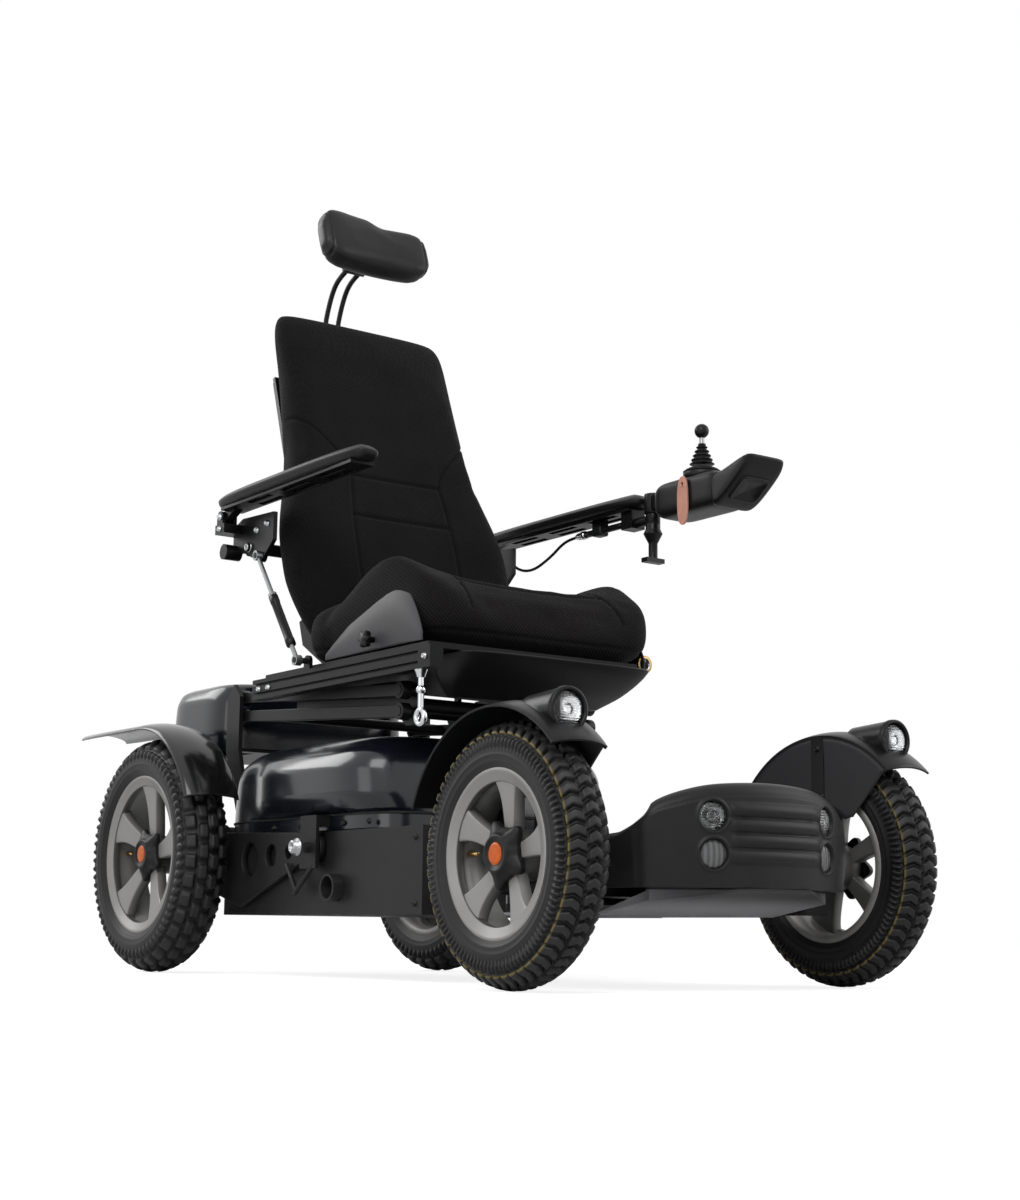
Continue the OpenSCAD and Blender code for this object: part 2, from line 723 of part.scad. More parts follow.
module knuckle(side) color("#37393d") on_side(side) {
  hub_back = wheel_x - front_rim_w * hub_back_share;
  translate([king_x, front_y, arm_low]) cylinder(r = king_r, h = king_top - arm_low);
  // Upper and lower lugs joined by the web that carries the stub axle
  for (z = [arm_low, boss_top + fit_gap]) {
    deep = z == arm_low ? beam_top - beam_h - fit_gap - arm_low : lug_t;
    block([king_x, front_y - lug_w / 2, z], [web_x + web_t, front_y + lug_w / 2, z + deep]);
    translate([king_x, front_y, z]) cylinder(r = lug_w / 2, h = deep);
  }
  block([web_x, front_y - lug_w / 2, arm_low], [web_x + web_t, front_y + lug_w / 2, boss_top + lug_t]);
  pin(web_x + web_t / 2, hub_back - fit_gap, front_y, front_tyre_r, stub_shoulder_r);
  pin(web_x + web_t / 2, wheel_x + front_rim_w * hub_face_share - flange_t, front_y, front_tyre_r,
    axle_r);
  // Steering arm to the rear, with its ball pin
  block([king_x - arm_end_r, front_y, arm_low], [king_x + arm_end_r, front_y + steer_arm,
    arm_low + arm_plate_t]);
  translate([king_x, front_y + steer_arm, arm_low]) cylinder(r = arm_end_r, h = arm_plate_t);
  translate([king_x, front_y + steer_arm, arm_low]) cylinder(r = ball_pin_r,
    h = arm_plate_t + rod_eye_h + over);
}

module tie_rod() color("#6d7075") translate([0, front_y + steer_arm, arm_low + arm_plate_t + fit_gap])
  difference() {
    union() {
      pin(-king_x, king_x, 0, rod_eye_h / 2, rod_r - over);
      both() translate([king_x, 0, 0]) cylinder(r = arm_end_r, h = rod_eye_h);
    }
    both() translate([king_x, 0, -over]) cylinder(r = ball_pin_r + run_gap, h = rod_eye_h + 2 * over);
  }

// Mudguards
guard_crown = 9;
guard_fn = 96;
front_guard_front = 44;
front_guard_rear = 20;
valance_inner_share = 0.24;
stay_w = 26;
// Turn of a lamp pod above the axle's level, and its height over the mudguard
pod_turn = 57.61;
pod_seat = 22.27;
lamp_back = (front_tyre_r + guard_gap + pod_seat) * cos(pod_turn);
lamp_up = (front_tyre_r + guard_gap + pod_seat) * sin(pod_turn);
lamp_len = 78;
lamp_rim = 5;
lens_sink = 8;

// Section of a mudguard skin, a shallow arch about half width at the given radius
module guard_section(r, half) {
  sag_r = (half * half + guard_crown * guard_crown) / (2 * guard_crown);
  turn = asin(half / sag_r);
  polygon(concat(arc([r + guard_crown - sag_r, 0], sag_r, -turn, turn, 12),
    arc([r + guard_crown - sag_r, 0], sag_r - guard_t, turn, -turn, 12)));
}

module front_mudguard(side) color("#2a2b2e") on_side(side) {
  r = front_tyre_r + guard_gap;
  half = front_guard_w / 2;
  sweep = 180 - front_guard_front - front_guard_rear;
  plate_x = web_x + web_t + fit_gap;
  difference() {
    union() {
      // The arched skin over the tyre
      translate([wheel_x, front_y, front_tyre_r]) rotate([0, 90, 0]) rotate([0, 0, 90 + front_guard_rear])
        rotate_extrude(angle = sweep, $fn = guard_fn) guard_section(r, half);
      // The inner valance that bolts to the knuckle
      translate([plate_x, front_y, front_tyre_r]) rotate([0, 90, 0]) intersection() {
        difference() {
          cylinder(r = r, h = guard_t, $fn = guard_fn);
          translate([0, 0, -over]) cylinder(r = r * valance_inner_share, h = guard_t + 2 * over);
        }
        rotate([0, 0, 90 + front_guard_rear]) rotate_extrude(angle = sweep, $fn = guard_fn)
          translate([0, -over]) square([r + over, guard_t + 2 * over]);
      }
      // The lamp pod on the crown
      translate([wheel_x, front_y - lamp_back + lamp_len, front_tyre_r + lamp_up]) rotate([90, 0, 0])
        cylinder(r1 = lamp_r - lamp_rim, r2 = lamp_r, h = lamp_len);
    }
    translate([wheel_x, front_y - lamp_back, front_tyre_r + lamp_up]) rotate([90, 0, 0])
      translate([0, 0, -lens_sink]) cylinder(r = lamp_r - lamp_rim + fit_gap, h = lens_sink + over);
    translate([wheel_x - front_guard_w, front_y, front_tyre_r]) rotate([0, 90, 0])
      cylinder(r = r - guard_crown / 2, h = front_guard_w - (wheel_x - plate_x) + front_guard_w,
        $fn = guard_fn);
  }
  plate(plate_x, plate_x + guard_t) translate([front_y - stay_w / 2, front_tyre_r + axle_r * 2])
    square([stay_w, r - axle_r * 2 - guard_crown / 2]);
}

module headlamp(side) color("#dfe4e8") on_side(side)
  translate([wheel_x, front_y - lamp_back, front_tyre_r + lamp_up]) rotate([90, 0, 0])
    translate([0, 0, -lens_sink]) {
      cylinder(r = lamp_r - lamp_rim, h = lens_sink / 2);
      translate([0, 0, lens_sink / 2])
        cylinder(r1 = lamp_r - lamp_rim, r2 = lamp_r - 2 * lamp_rim, h = lens_sink / 2);
    }

// Rear trailing arms
// Holes of the arm, each a share of the span and a share of the largest hole
arm_hole_shares = [[0.18, 0.4], [0.31, 0.66], [0.475, 1]];
arm_hole_r = 29;
arm_hole_drop = 14;
arm_depth = 95;
arm_head = 26;
arm_boss_r = 44;
arm_neck_share = 0.94;
arm_knee_shares = [0.1, 0.54];

module rear_arm(side) color("#2f3033") on_side(side) {
  span = rear_y - arm_pivot_y;
  difference() {
    union() {
      plate(arm_x, arm_x + arm_t)
        polygon([[arm_pivot_y, arm_pivot_z + arm_head * arm_neck_share],
          [rear_y, rear_tyre_r + arm_boss_r * arm_neck_share],
          [rear_y, rear_tyre_r - arm_boss_r * arm_neck_share],
          [arm_pivot_y + span * arm_knee_shares[1], arm_pivot_z - arm_depth],
          [arm_pivot_y + span * arm_knee_shares[0], arm_pivot_z - arm_head],
          [arm_pivot_y, arm_pivot_z - arm_head * arm_neck_share]]);
      pin(arm_x, arm_x + arm_t, arm_pivot_y, arm_pivot_z, arm_head);
      pin(arm_x, arm_x + arm_t, rear_y, rear_tyre_r, arm_boss_r);
    }
    for (q = arm_hole_shares) pin(arm_x - over, arm_x + arm_t + over, arm_pivot_y + span * q[0],
      arm_pivot_z - q[1] * arm_hole_drop, arm_hole_r * q[1]);
    pin(arm_x - over, arm_x + arm_t + over, arm_pivot_y, arm_pivot_z, pivot_r + run_gap);
    pin(arm_x - over, arm_x + arm_t + over, rear_y, rear_tyre_r, stub_shoulder_r + fit_gap);
  }
}

// Drive motors
gearbox_r = 60;
gearbox_t = 58;
motor_len = 120;
motor_fin_count = 6;
motor_fin_r = 3;

module drive_motor(side) color("#46484c") on_side(side) {
  pin(arm_x - gearbox_t, arm_x - fit_gap, rear_y, rear_tyre_r, gearbox_r);
  pin(arm_x - gearbox_t - motor_len, arm_x - gearbox_t, rear_y, rear_tyre_r, motor_r);
  for (i = [0:motor_fin_count - 1])
    pin(arm_x - gearbox_t - motor_len * (i + 1) / motor_fin_count, arm_x - gearbox_t - motor_len * (i + 1)
      / motor_fin_count + motor_fin_r, rear_y, rear_tyre_r, motor_r + motor_fin_r);
  pin(arm_x - gearbox_t, wheel_x - rear_rim_w * hub_back_share - fit_gap, rear_y, rear_tyre_r,
    stub_shoulder_r);
  pin(arm_x, wheel_x + rear_rim_w * hub_face_share - flange_t, rear_y, rear_tyre_r, axle_r);
}

// Rear mudguards
rear_guard_front = 24;
tail_turn = 87;
tail_drop_share = 0.002;
tail_lap = 12;
bracket_w = 40;

module rear_mudguard(side) color("#1c1e21") on_side(side) {
  r = rear_tyre_r + guard_gap;
  half = rear_guard_w / 2;
  knee = (r - guard_t) * [cos(tail_turn), sin(tail_turn)];
  tail = [rear_overhang - guard_t / 2, knee[1] - rear_overhang * tail_drop_share];
  d = (tail - knee) / norm(tail - knee);
  inner = arm_x + arm_t + fit_gap;
  translate([wheel_x, rear_y, rear_tyre_r]) {
    rotate([0, 90, 0]) rotate([0, 0, 90 + tail_turn])
      rotate_extrude(angle = 180 - tail_turn - rear_guard_front, $fn = guard_fn) guard_section(r, half);
    // The straight tail carries the arch on to its tip
    multmatrix([[0, 1, 0, 0], [-d[1], 0, d[0], knee[0] - tail_lap * d[0]],
      [d[0], 0, d[1], knee[1] - tail_lap * d[1]], [0, 0, 0, 1]])
      linear_extrude(norm(tail - knee) + tail_lap) translate([guard_t - r, 0]) guard_section(r, half);
  }
  // The stay that bolts the skin to the arm
  plate(inner, wheel_x - half + guard_t) translate([rear_y - bracket_w / 2,
    rear_tyre_r + stub_shoulder_r * 2])
    square([bracket_w, r - stub_shoulder_r * 2 - guard_t / 2]);
}

// Seat lift arms
lift_bar_h = 20;
lift_eye_r = 14;
front_pin_r = 8;
lift_front_y = lift_y - lift_reach;
lift_front_z = lift_z - lift_drop;
lift_cross_share = 0.2;
lift_cross_r = 9;

// One lift arm of the left side with an eye at each end, raised by up
module lift_arm(up) {
  difference() {
    plate(lift_arm_x, lift_arm_x + lift_bar_w) {
      polygon([[lift_y, lift_z + up - lift_bar_h / 2], [lift_y, lift_z + up + lift_bar_h / 2],
        [lift_front_y, lift_front_z + up + lift_bar_h / 2],
          [lift_front_y, lift_front_z + up - lift_bar_h / 2]]);
      translate([lift_y, lift_z + up]) circle(r = lift_eye_r);
      translate([lift_front_y, lift_front_z + up]) circle(r = lift_eye_r);
    }
    pin(lift_arm_x - over, lift_arm_x + lift_bar_w + over, lift_y, lift_z + up, lift_pin_r + run_gap);
    pin(lift_arm_x - over, lift_arm_x + lift_bar_w + over, lift_front_y, lift_front_z + up,
      front_pin_r + run_gap);
  }
}

module lift_arms_lower() color("#1f2022") {
  both() lift_arm(0);
  pin(-lift_arm_x - over, lift_arm_x + over, lift_y - lift_reach * lift_cross_share,
    lift_z - lift_drop * lift_cross_share, lift_cross_r);
}
module lift_arms_upper() color("#1f2022") both() lift_arm(lift_gap);

// Seat carriage
carriage_x = 160;
carriage_t = 8;
tilt_y = 285;
tilt_z = 470;
tilt_r = 8;
carriage_head = 20;
carriage_cross_r = 12;
carriage_cross_shares = [0.2, 0.75];

module carriage_plate() {
  polygon([[lift_front_y - carriage_head, lift_front_z - carriage_head],
    [lift_front_y - carriage_head, lift_front_z + lift_gap + carriage_head / 2],
    [lift_front_y + carriage_head, lift_front_z + lift_gap + carriage_head],
    [tilt_y, tilt_z + carriage_head], [tilt_y + carriage_head, tilt_z + carriage_head / 2],
    [tilt_y + carriage_head, tilt_z - carriage_head / 2], [tilt_y, tilt_z - carriage_head],
    [lift_front_y + 3 * carriage_head, lift_front_z + carriage_head / 2],
    [lift_front_y + carriage_head, lift_front_z - carriage_head]]);
}

module seat_carriage() color("#26272a") {
  both() {
    plate(carriage_x, carriage_x + carriage_t) carriage_plate();
    for (up = [0, lift_gap]) pin(carriage_x + carriage_t / 2, lift_arm_x + lift_bar_w + over,
      lift_front_y,
      lift_front_z + up, front_pin_r);
    pin(carriage_x - carriage_t - 2 * fit_gap, carriage_x + carriage_t / 2, tilt_y, tilt_z, tilt_r);
  }
  for (s = carriage_cross_shares) pin(-carriage_x - over, carriage_x + over,
    lift_front_y + s * (tilt_y - lift_front_y),
    lift_front_z + lift_gap / 2 + s * (tilt_z - lift_front_z - lift_gap / 2), carriage_cross_r);
}

// Seat rails and pan
seat_half = seat_w / 2;
pan_t = 6;
pan_top = rail_z + pan_t;
pan_front = 236;
pan_rear = 280;
pan_half_gap = 4;
pan_cut = [80, 176];
hinge_plate_t = 6;
hinge_plate_x = 168;
hinge_ear_x = hinge_plate_x + hinge_plate_t + fit_gap;
groove_h = 5;
groove_d = 7;
groove_shares = [0.2, 0.66];
end_block = 34;
ear_t = 6;
hinge_y = 175;
hinge_z = 545;
hinge_r = 8;
hinge_head = 18;
rod_y = 130;
rod_z = 522;
rod_pin_r = 5;
rod_x = 262;
rod_eye_w = 12;
tilt_head = 18;

// One grooved rail of the left side, reaching ahead by front
module seat_rail(front) {
  difference() {
    block([seat_half - rail_w, -front, rail_z - rail_h], [seat_half, seat_rear, rail_z]);
    for (s = groove_shares) block([seat_half - groove_d, end_block - front, rail_z - rail_h + s * rail_h],
      [seat_half + over, seat_rear + over, rail_z - rail_h + s * rail_h + groove_h]);
  }
}

module seat_rails() color("#2d2e30") {
  seat_rail(rail_front_left);
  mirror([1, 0, 0]) seat_rail(rail_front_right);
  // The pan, cut away at its left front corner
  translate([0, 0, rail_z - pan_t / 2]) linear_extrude(pan_top - rail_z + pan_t / 2) polygon(
    [[pan_half_gap - seat_half, -pan_front], [seat_half - pan_half_gap - pan_cut[0], -pan_front],
    [seat_half - pan_half_gap, pan_cut[1] - pan_front], [seat_half - pan_half_gap, pan_rear],
    [pan_half_gap - seat_half, pan_rear]]);
  difference() {
    both() {
      // Ears for the back's hinge and for the levelling rod
      plate(hinge_ear_x, hinge_ear_x + ear_t) {
        translate([hinge_y, hinge_z]) circle(r = hinge_head);
        translate([hinge_y - hinge_head, rail_z - pan_t / 4])
          square([2 * hinge_head, hinge_z - rail_z + pan_t / 4]);
      }
      plate(seat_half - ear_t, seat_half) {
        translate([rod_y, rod_z]) circle(r = 2 * rod_pin_r);
        translate([rod_y - 2 * rod_pin_r, rail_z - pan_t]) square([4 * rod_pin_r,
          rod_z - rail_z + pan_t]);
      }
      pin(seat_half - ear_t, rod_x + rod_eye_w + over, rod_y, rod_z, rod_pin_r);
      // Lugs of the tilt hinge
      plate(carriage_x - carriage_t - fit_gap, carriage_x - fit_gap) {
        translate([tilt_y, tilt_z]) circle(r = tilt_head);
        translate([tilt_y - tilt_head, tilt_z])
          square([tilt_head + min(tilt_head, pan_rear - tilt_y), rail_z - tilt_z]);
      }
    }
    both() {
      pin(hinge_ear_x - over, hinge_ear_x + ear_t + over, hinge_y, hinge_z, hinge_r + run_gap);
      pin(carriage_x - carriage_t - over, carriage_x, tilt_y, tilt_z, tilt_r + run_gap);
    }
  }
}

// Seat tray
tray_front = 262;
tray_depth = 128;
tray_half = 190;
tray_low = 446;
tray_fn = 32;
// Rows of height share, depth share and width share; the front slopes back as it goes down
tray_row_shares = [[0, 0.22, 0.76], [0.35, 0.6, 0.88], [0.8, 0.92, 0.97], [1, 1, 1]];

// Rings of the tray, drawn in by inset, with its rear face upright
function tray_rings(inset, top) = [for (q = tray_row_shares)
  ring([0, tray_depth * (1 - q[1] / 2) - tray_front], tray_low + q[0] * (top - tray_low),
    tray_half * q[2] - inset,
    tray_depth / 2 * q[1] - inset, 0.4, tray_fn)];

module seat_tray() color("#222326") difference() {
  loft(tray_rings(0, rail_z - pan_t / 2 - fit_gap));
  translate([0, 0, cover_wall]) loft(tray_rings(cover_wall, rail_z));
}

// Seat cushion
cushion_rings = 24;
cushion_points = 48;
cushion_seam_share = 0.6;
cushion_seam = 6;
front_seam_share = 0.146;
cushion_peak_share = 0.37;
cushion_dip_share = 0.1;
draw_in_share = 0.05;
corner_draw_share = 0.3;

// Height of the cushion over its foot, at u across (-1 to 1) and v from front to rear (0 to 1)
function cushion_top(u, v) = let (side = pow(abs(u), 4), reach = v < cushion_peak_share ? 0.25 : 0.4,
  peak = exp(-pow((v - cushion_peak_share) / reach, 2)))
  cushion_h * (1 - cushion_dip_share * ease((v - 0.1) / 0.4)) + bolster_h * side * peak
  - (abs(abs(u) - cushion_seam_share) < 0.04 || abs(v - front_seam_share) < 0.02 ? cushion_seam : 0);
// How far the rounded ends leave of the full section at v
function cushion_end(v) = sqrt(max(0, 1 - pow(abs(2 * v - 1), 13)));

module seat_cushion() color("#1b1a1c") {
  low = pan_top + fit_gap;
  span = cushion_front + cushion_rear;
  loft([for (j = [0:cushion_rings]) let (v = (1 - cos(180 * j / cushion_rings)) / 2,
    e = max(0.12, cushion_end(v)), y = -cushion_front + v * span)
    [for (i = [0:cushion_points - 1]) let (t = 360 * i / cushion_points, u = spow(cos(t), 0.32),
      up = (1 + spow(sin(t), 0.32)) / 2, h = cushion_top(u, v),
      half = cushion_w / 2 * (1 - corner_draw_share * (1 - e))
        * (1 - draw_in_share * (1 - sin(180 * up))))
      [-half * u, y, low + h * (1 - e) * 0.42 + h * e * up]]]);
}

// Tie-down eyes under the front of the rails
eye_station = 205;
eye_left_station = -30;
eye_in = 12;
eye_rod_r = 4.5;
eye_len = 62;
eye_ring_r = 11;
eye_wire_r = 4.5;
eye_head_r = 11;
eye_head_h = 12;

module tie_down_eye(station) translate([seat_half - eye_in, -station, rail_z - rail_h - fit_gap / 3]) {
  translate([0, 0, -eye_head_h]) cylinder(r1 = eye_rod_r * 1.4, r2 = eye_head_r, h = eye_head_h);
  translate([0, 0, -eye_len]) cylinder(r = eye_rod_r, h = eye_len);
  translate([0, 0, -eye_len / 2]) sphere(r = eye_rod_r * 1.7);
  translate([0, 0, -eye_len - eye_ring_r]) rotate([0, 90, 0]) rotate_extrude()
    translate([eye_ring_r, 0]) circle(r = eye_wire_r);
}

module tie_down_eyes() color("#c9cbcd") {
  mirror([1, 0, 0]) tie_down_eye(eye_station);
  tie_down_eye(eye_left_station);
}

// Receptacle tube along the left edge of the pan
tube_r = 15;
tube_bore = 11;
tube_len = 92;
tube_deep = 38;
tube_front = 137;
tube_in = 3;

module receptacle_tube() color("#b8bcc0")
  translate([seat_half - pan_half_gap - tube_in, -tube_front,
    pan_top + tube_r + fit_gap / 3]) rotate([-90, 0, 0])
    difference() {
      cylinder(r = tube_r, h = tube_len);
      translate([0, 0, -over]) cylinder(r = tube_bore, h = tube_deep + over);
    }

// Back
back_tube_y = 80;
back_tube_r = 11;
back_tube_x = 150;
back_panel_t = 8;
back_panel_half = 168;
back_panel_low = 70;
back_panel_top = 610;
back_rear = 61;
back_gap = 1;
hinge_cross_z = 96;
arm_cross_z = 240;
arm_pin_x = 268;
arm_pin_r = 8;
back_low = 24;
socket_h = 80;
socket_z = 520;
socket_half = 28;
// Lines of a hinge plate under the cushion and behind it, to the cross tube and back
hinge_plate_low = [[27, -11], [62, 28], [91, 61]];
hinge_plate_high = [[58, 107], [53, 67], [47, 48], [40, 33], [31, 24], [23, 20]];
post_r = 5;
post_x = 14;
post_y = 118;

// Places a back piece, drawn upright from the hinge line with +Y to the rear
module on_back() {
  translate([0, hinge_y, hinge_z]) rotate([-back_angle, 0, 0]) children();
}

module back_frame() color("#202123") on_back() {
  difference() {
    union() {
      block([-back_panel_half, back_rear + back_gap, back_panel_low],
        [back_panel_half, back_rear + back_gap + back_panel_t, back_panel_top]);
      both() translate([back_tube_x, back_tube_y, back_panel_low])
        cylinder(r = back_tube_r, h = back_panel_top - back_panel_low);
      pin(-hinge_plate_x - hinge_plate_t, hinge_plate_x + hinge_plate_t, back_tube_y, hinge_cross_z,
        back_tube_r);
      pin(-rod_x + 3 * back_gap + ear_t, rod_x - 3 * back_gap - ear_t, back_tube_y, arm_cross_z,
        back_tube_r);
      pin(-arm_pin_x, arm_pin_x, back_tube_y, arm_cross_z, arm_pin_r);
      both() {
        plate(hinge_plate_x, hinge_plate_x + hinge_plate_t) polygon(concat([[0, hinge_head],
          [-hinge_head, 0],
          [-hinge_head / 2, -hinge_head], [hinge_head / 2, -hinge_head]], hinge_plate_low,
          [[back_tube_y + back_tube_r, hinge_cross_z + back_tube_r]], hinge_plate_high));
        pin(hinge_plate_x, hinge_ear_x + ear_t + back_gap, 0, 0, hinge_r);
      }
      block([-socket_half, back_rear + back_panel_t, socket_z],
        [socket_half, post_y + 2 * post_r, socket_z + socket_h]);
    }
    both() translate([post_x, post_y, socket_z - over]) cylinder(r = post_r + run_gap,
      h = socket_h + 2 * over);
  }
}

// Half width of the back cushion at the share s of its height
function back_half(s) = s < 0.2
  ? back_foot_half + (back_wing_half - back_foot_half) * ease(s / 0.2)
  : back_wing_half + (back_top_half - back_wing_half) * ease((s - 0.2) / 0.68);
back_rings = 25;
back_points = 48;
wing_h = 18;
back_seam = 6;
// Side seams, straight beside the lumbar field and then out to the edges, as shares
lumbar_half_share = 0.44;
side_seam_shares = [0.47, 0.7];
function back_seam_u(s) = lumbar_half_share + (1 - lumbar_half_share)
  * ease((s - side_seam_shares[0]) / (side_seam_shares[1] - side_seam_shares[0]));
back_taper_share = 0.1;
lumbar_seam_shares = [0.345, 0.47];
// Depth of the seams in the front face at u across and s up
function back_groove(u, s) = abs(abs(u) - back_seam_u(s)) < 0.05
  || (abs(u) < lumbar_half_share && min([for (q = lumbar_seam_shares) abs(s - q)]) < 0.03) ? back_seam
    : 0;

module back_cushion() color("#19191b") on_back()
  loft([for (j = [0:back_rings]) let (s = (1 - cos(180 * j / back_rings)) / 2,
    e = max(0.14, sqrt(max(0, 1 - pow(abs(2 * s - 1), 12)))), half = back_half(s) * (0.86 + 0.14 * e))
    [for (i = [0:back_points - 1]) let (t = 360 * i / back_points, u = spow(cos(t), 0.5),
      d = spow(sin(t), 0.6), wing = wing_h * pow(abs(u), 3) * sin(180 * s) - back_groove(u, s) * e)
      [half * u * (1 - back_taper_share * max(0, d)),
        back_rear - back_t / 2 + back_t / 2 * e * d - (d < 0 ? wing * -d : 0),
        back_low + s * back_len]]]);

// Headrest
post_bend_rise = 29;
post_top_rise = 121;
post_bend_z = back_low + back_len + post_bend_rise;
post_low = 470;
post_knee_y = 44;
post_top_y = -14;
post_top = [0, post_top_y, back_low + back_len + post_top_rise];
yoke_half = 24;
yoke_h = 20;
yoke_y = -21;
tilt_pin_r = 4;
tilt_pin_y = -33;
tilt_ear_r = 9;
tilt_ear_t = 8;
plate_half = 60;
plate_h = 52;
plate_t = 5;
plate_y = -47;

module headrest_posts() color("#1b1c1e") on_back() {
  both() {
    translate([post_x, post_y, post_low]) cylinder(r = post_r, h = post_bend_z - post_low);
    translate([post_x, post_y, post_bend_z]) sphere(r = post_r);
    bar([post_x, post_y, post_bend_z], [post_x, post_knee_y, post_top[2]], post_r);
    translate([post_x, post_knee_y, post_top[2]]) sphere(r = post_r);
    bar([post_x, post_knee_y, post_top[2]], [post_x, post_top[1], post_top[2]], post_r);
  }
  block([-yoke_half, yoke_y, post_top[2] - yoke_h / 2],
    [yoke_half, post_top[1] + post_r, post_top[2] + yoke_h / 2]);
  block([-yoke_half / 3, tilt_pin_y, post_top[2] - yoke_h / 3],
    [yoke_half / 3, yoke_y + over, post_top[2] + yoke_h / 3]);
  pin(-yoke_half, yoke_half, tilt_pin_y, post_top[2], tilt_pin_r);
}

module headrest_plate() color("#1b1c1e") on_back() difference() {
  union() {
    block([-plate_half, plate_y - plate_t, post_top[2] - plate_h / 2],
      [plate_half, plate_y, post_top[2] + plate_h / 2]);
    both() plate(yoke_half / 3 + 2 * fit_gap, yoke_half / 3 + 2 * fit_gap + tilt_ear_t) {
      translate([tilt_pin_y, post_top[2]]) circle(r = tilt_ear_r);
      translate([plate_y - over, post_top[2] - tilt_ear_r]) square([tilt_pin_y - plate_y + over,
        2 * tilt_ear_r]);
    }
  }
  pin(-yoke_half - over, yoke_half + over, tilt_pin_y, post_top[2], tilt_pin_r + run_gap);
}

headrest_rings = 18;
headrest_points = 24;
headrest_bow = 12;

module headrest_pad() color("#3a3a3d") on_back()
  loft([for (j = [0:headrest_rings]) let (s = (1 - cos(180 * j / headrest_rings)) / 2, w = 2 * s - 1,
    e = max(0.16, sqrt(max(0, 1 - pow(abs(w), 8)))),
      c = plate_y - plate_t - fit_gap - headrest_t / 2 - headrest_bow * w * w)
    [for (i = [0:headrest_points - 1]) let (t = 360 * i / headrest_points)
      [headrest_w / 2 * w, c + headrest_t / 2 * e * spow(cos(t), 0.6),
        post_top[2] + headrest_h / 2 * e * spow(sin(t), 0.6)]]]);

// Armrests
arm_x0 = arm_span / 2;
arm_pin_y = hinge_y + arm_cross_z * sin(back_angle) + back_tube_y * cos(back_angle);
arm_pin_z = hinge_z + arm_cross_z * cos(back_angle) - back_tube_y * sin(back_angle);
rod_top_y = rod_y + arm_pin_y - hinge_y;
rod_top_z = rod_z + arm_pin_z - hinge_z;
bracket_t = 8;
flip_y = 372;
flip_z = 805;
flip_r = 6;
flip_head = 11;
flip_ear_t = 6;
flip_lug_w = 16;
bracket_top = 792;
bracket_deep = 34;
bracket_nose = 42;
bracket_rise = 12;
lock_r = 14;
lock_drop = 60;

module arm_brackets() color("#242528") both() {
  x0 = rod_x - bracket_t;
  difference() {
    union() {
      plate(x0, x0 + bracket_t) {
        translate([arm_pin_y, arm_pin_z]) circle(r = 2 * arm_pin_r);
        translate([rod_top_y, rod_top_z]) circle(r = 2 * rod_pin_r);
        polygon([[arm_pin_y, arm_pin_z - 2 * arm_pin_r], [rod_top_y, rod_top_z - 2 * rod_pin_r],
          [rod_top_y - bracket_nose, rod_top_z + 2 * bracket_rise],
          [rod_top_y - bracket_nose, bracket_top + bracket_rise / 2],
          [flip_y - bracket_deep / 2, bracket_top + bracket_rise],
            [flip_y + bracket_deep / 2, bracket_top],
          [flip_y + bracket_deep / 2, flip_z - lock_drop],
            [arm_pin_y + 2 * arm_pin_r, arm_pin_z - arm_pin_r]]);
      }
      block([x0, flip_y - bracket_deep / 2, bracket_top - bracket_deep / 2],
        [arm_x0 + flip_lug_w / 2 + flip_ear_t + fit_gap, flip_y + bracket_deep / 2, bracket_top]);
      for (s = [-1, 1]) {
        x = arm_x0 + s * (flip_lug_w / 2 + flip_ear_t / 2 + fit_gap);
        plate(x - flip_ear_t / 2, x + flip_ear_t / 2) {
          translate([flip_y, flip_z]) circle(r = flip_head);
          translate([flip_y - flip_head, bracket_top - over]) square([2 * flip_head,
            flip_z - bracket_top + over]);
        }
      }
      pin(arm_x0 - flip_lug_w / 2 - flip_ear_t, arm_x0 + flip_lug_w / 2 + flip_ear_t, flip_y, flip_z,
        flip_r);
      pin(x0, rod_x + rod_eye_w + over, rod_top_y, rod_top_z, rod_pin_r);
      // The locking knob behind the plate's pivot
      pin(x0, rod_x + 2 * rod_eye_w, flip_y + bracket_deep / 4, flip_z - lock_drop, lock_r);
    }
    pin(x0 - over, x0 + bracket_t + over, arm_pin_y, arm_pin_z, arm_pin_r + run_gap);
  }
}

rod_wire_r = 4;
sleeve_r = 7.5;
sleeve_shares = [0.14, 0.62];
rod_eye_r = 9;

module arm_rods() color("#8d9196") both() {
  x = rod_x + rod_eye_w / 2 + fit_gap;
  low = [x, rod_y, rod_z];
  run = [0, rod_top_y - rod_y, rod_top_z - rod_z];
  difference() {
    union() {
      bar(low, low + run, rod_wire_r);
      bar(low + sleeve_shares[0] * run, low + sleeve_shares[1] * run, sleeve_r);
      for (p = [low, low + run])
        pin(rod_x + 2 * fit_gap, rod_x + rod_eye_w, p[1], p[2], rod_eye_r);
    }
    for (p = [low, low + run]) pin(rod_x - over, rod_x + rod_eye_w + over, p[1], p[2],
      rod_pin_r + run_gap);
  }
}

// Arm rails
arm_rail_w = 44;
arm_rail_t = 6;
arm_rail_gap = 24;
arm_front = flip_y - arm_len;
slot_w = 12;
slot_len = 78;
slot_count = 3;
slot_start = 70;
slot_step = 118;
clamp_block = 30;
clamp_block_in = 36;
clamp_block_y = arm_front + clamp_block_in;
control_tube_r = 9;
control_tube_z = 793;
swing_out = 19;
swing_y = arm_front - swing_out;
swing_r = 6;
swing_eye_r = 13;
swing_eye_h = 18;
swing_eye_z = 784;

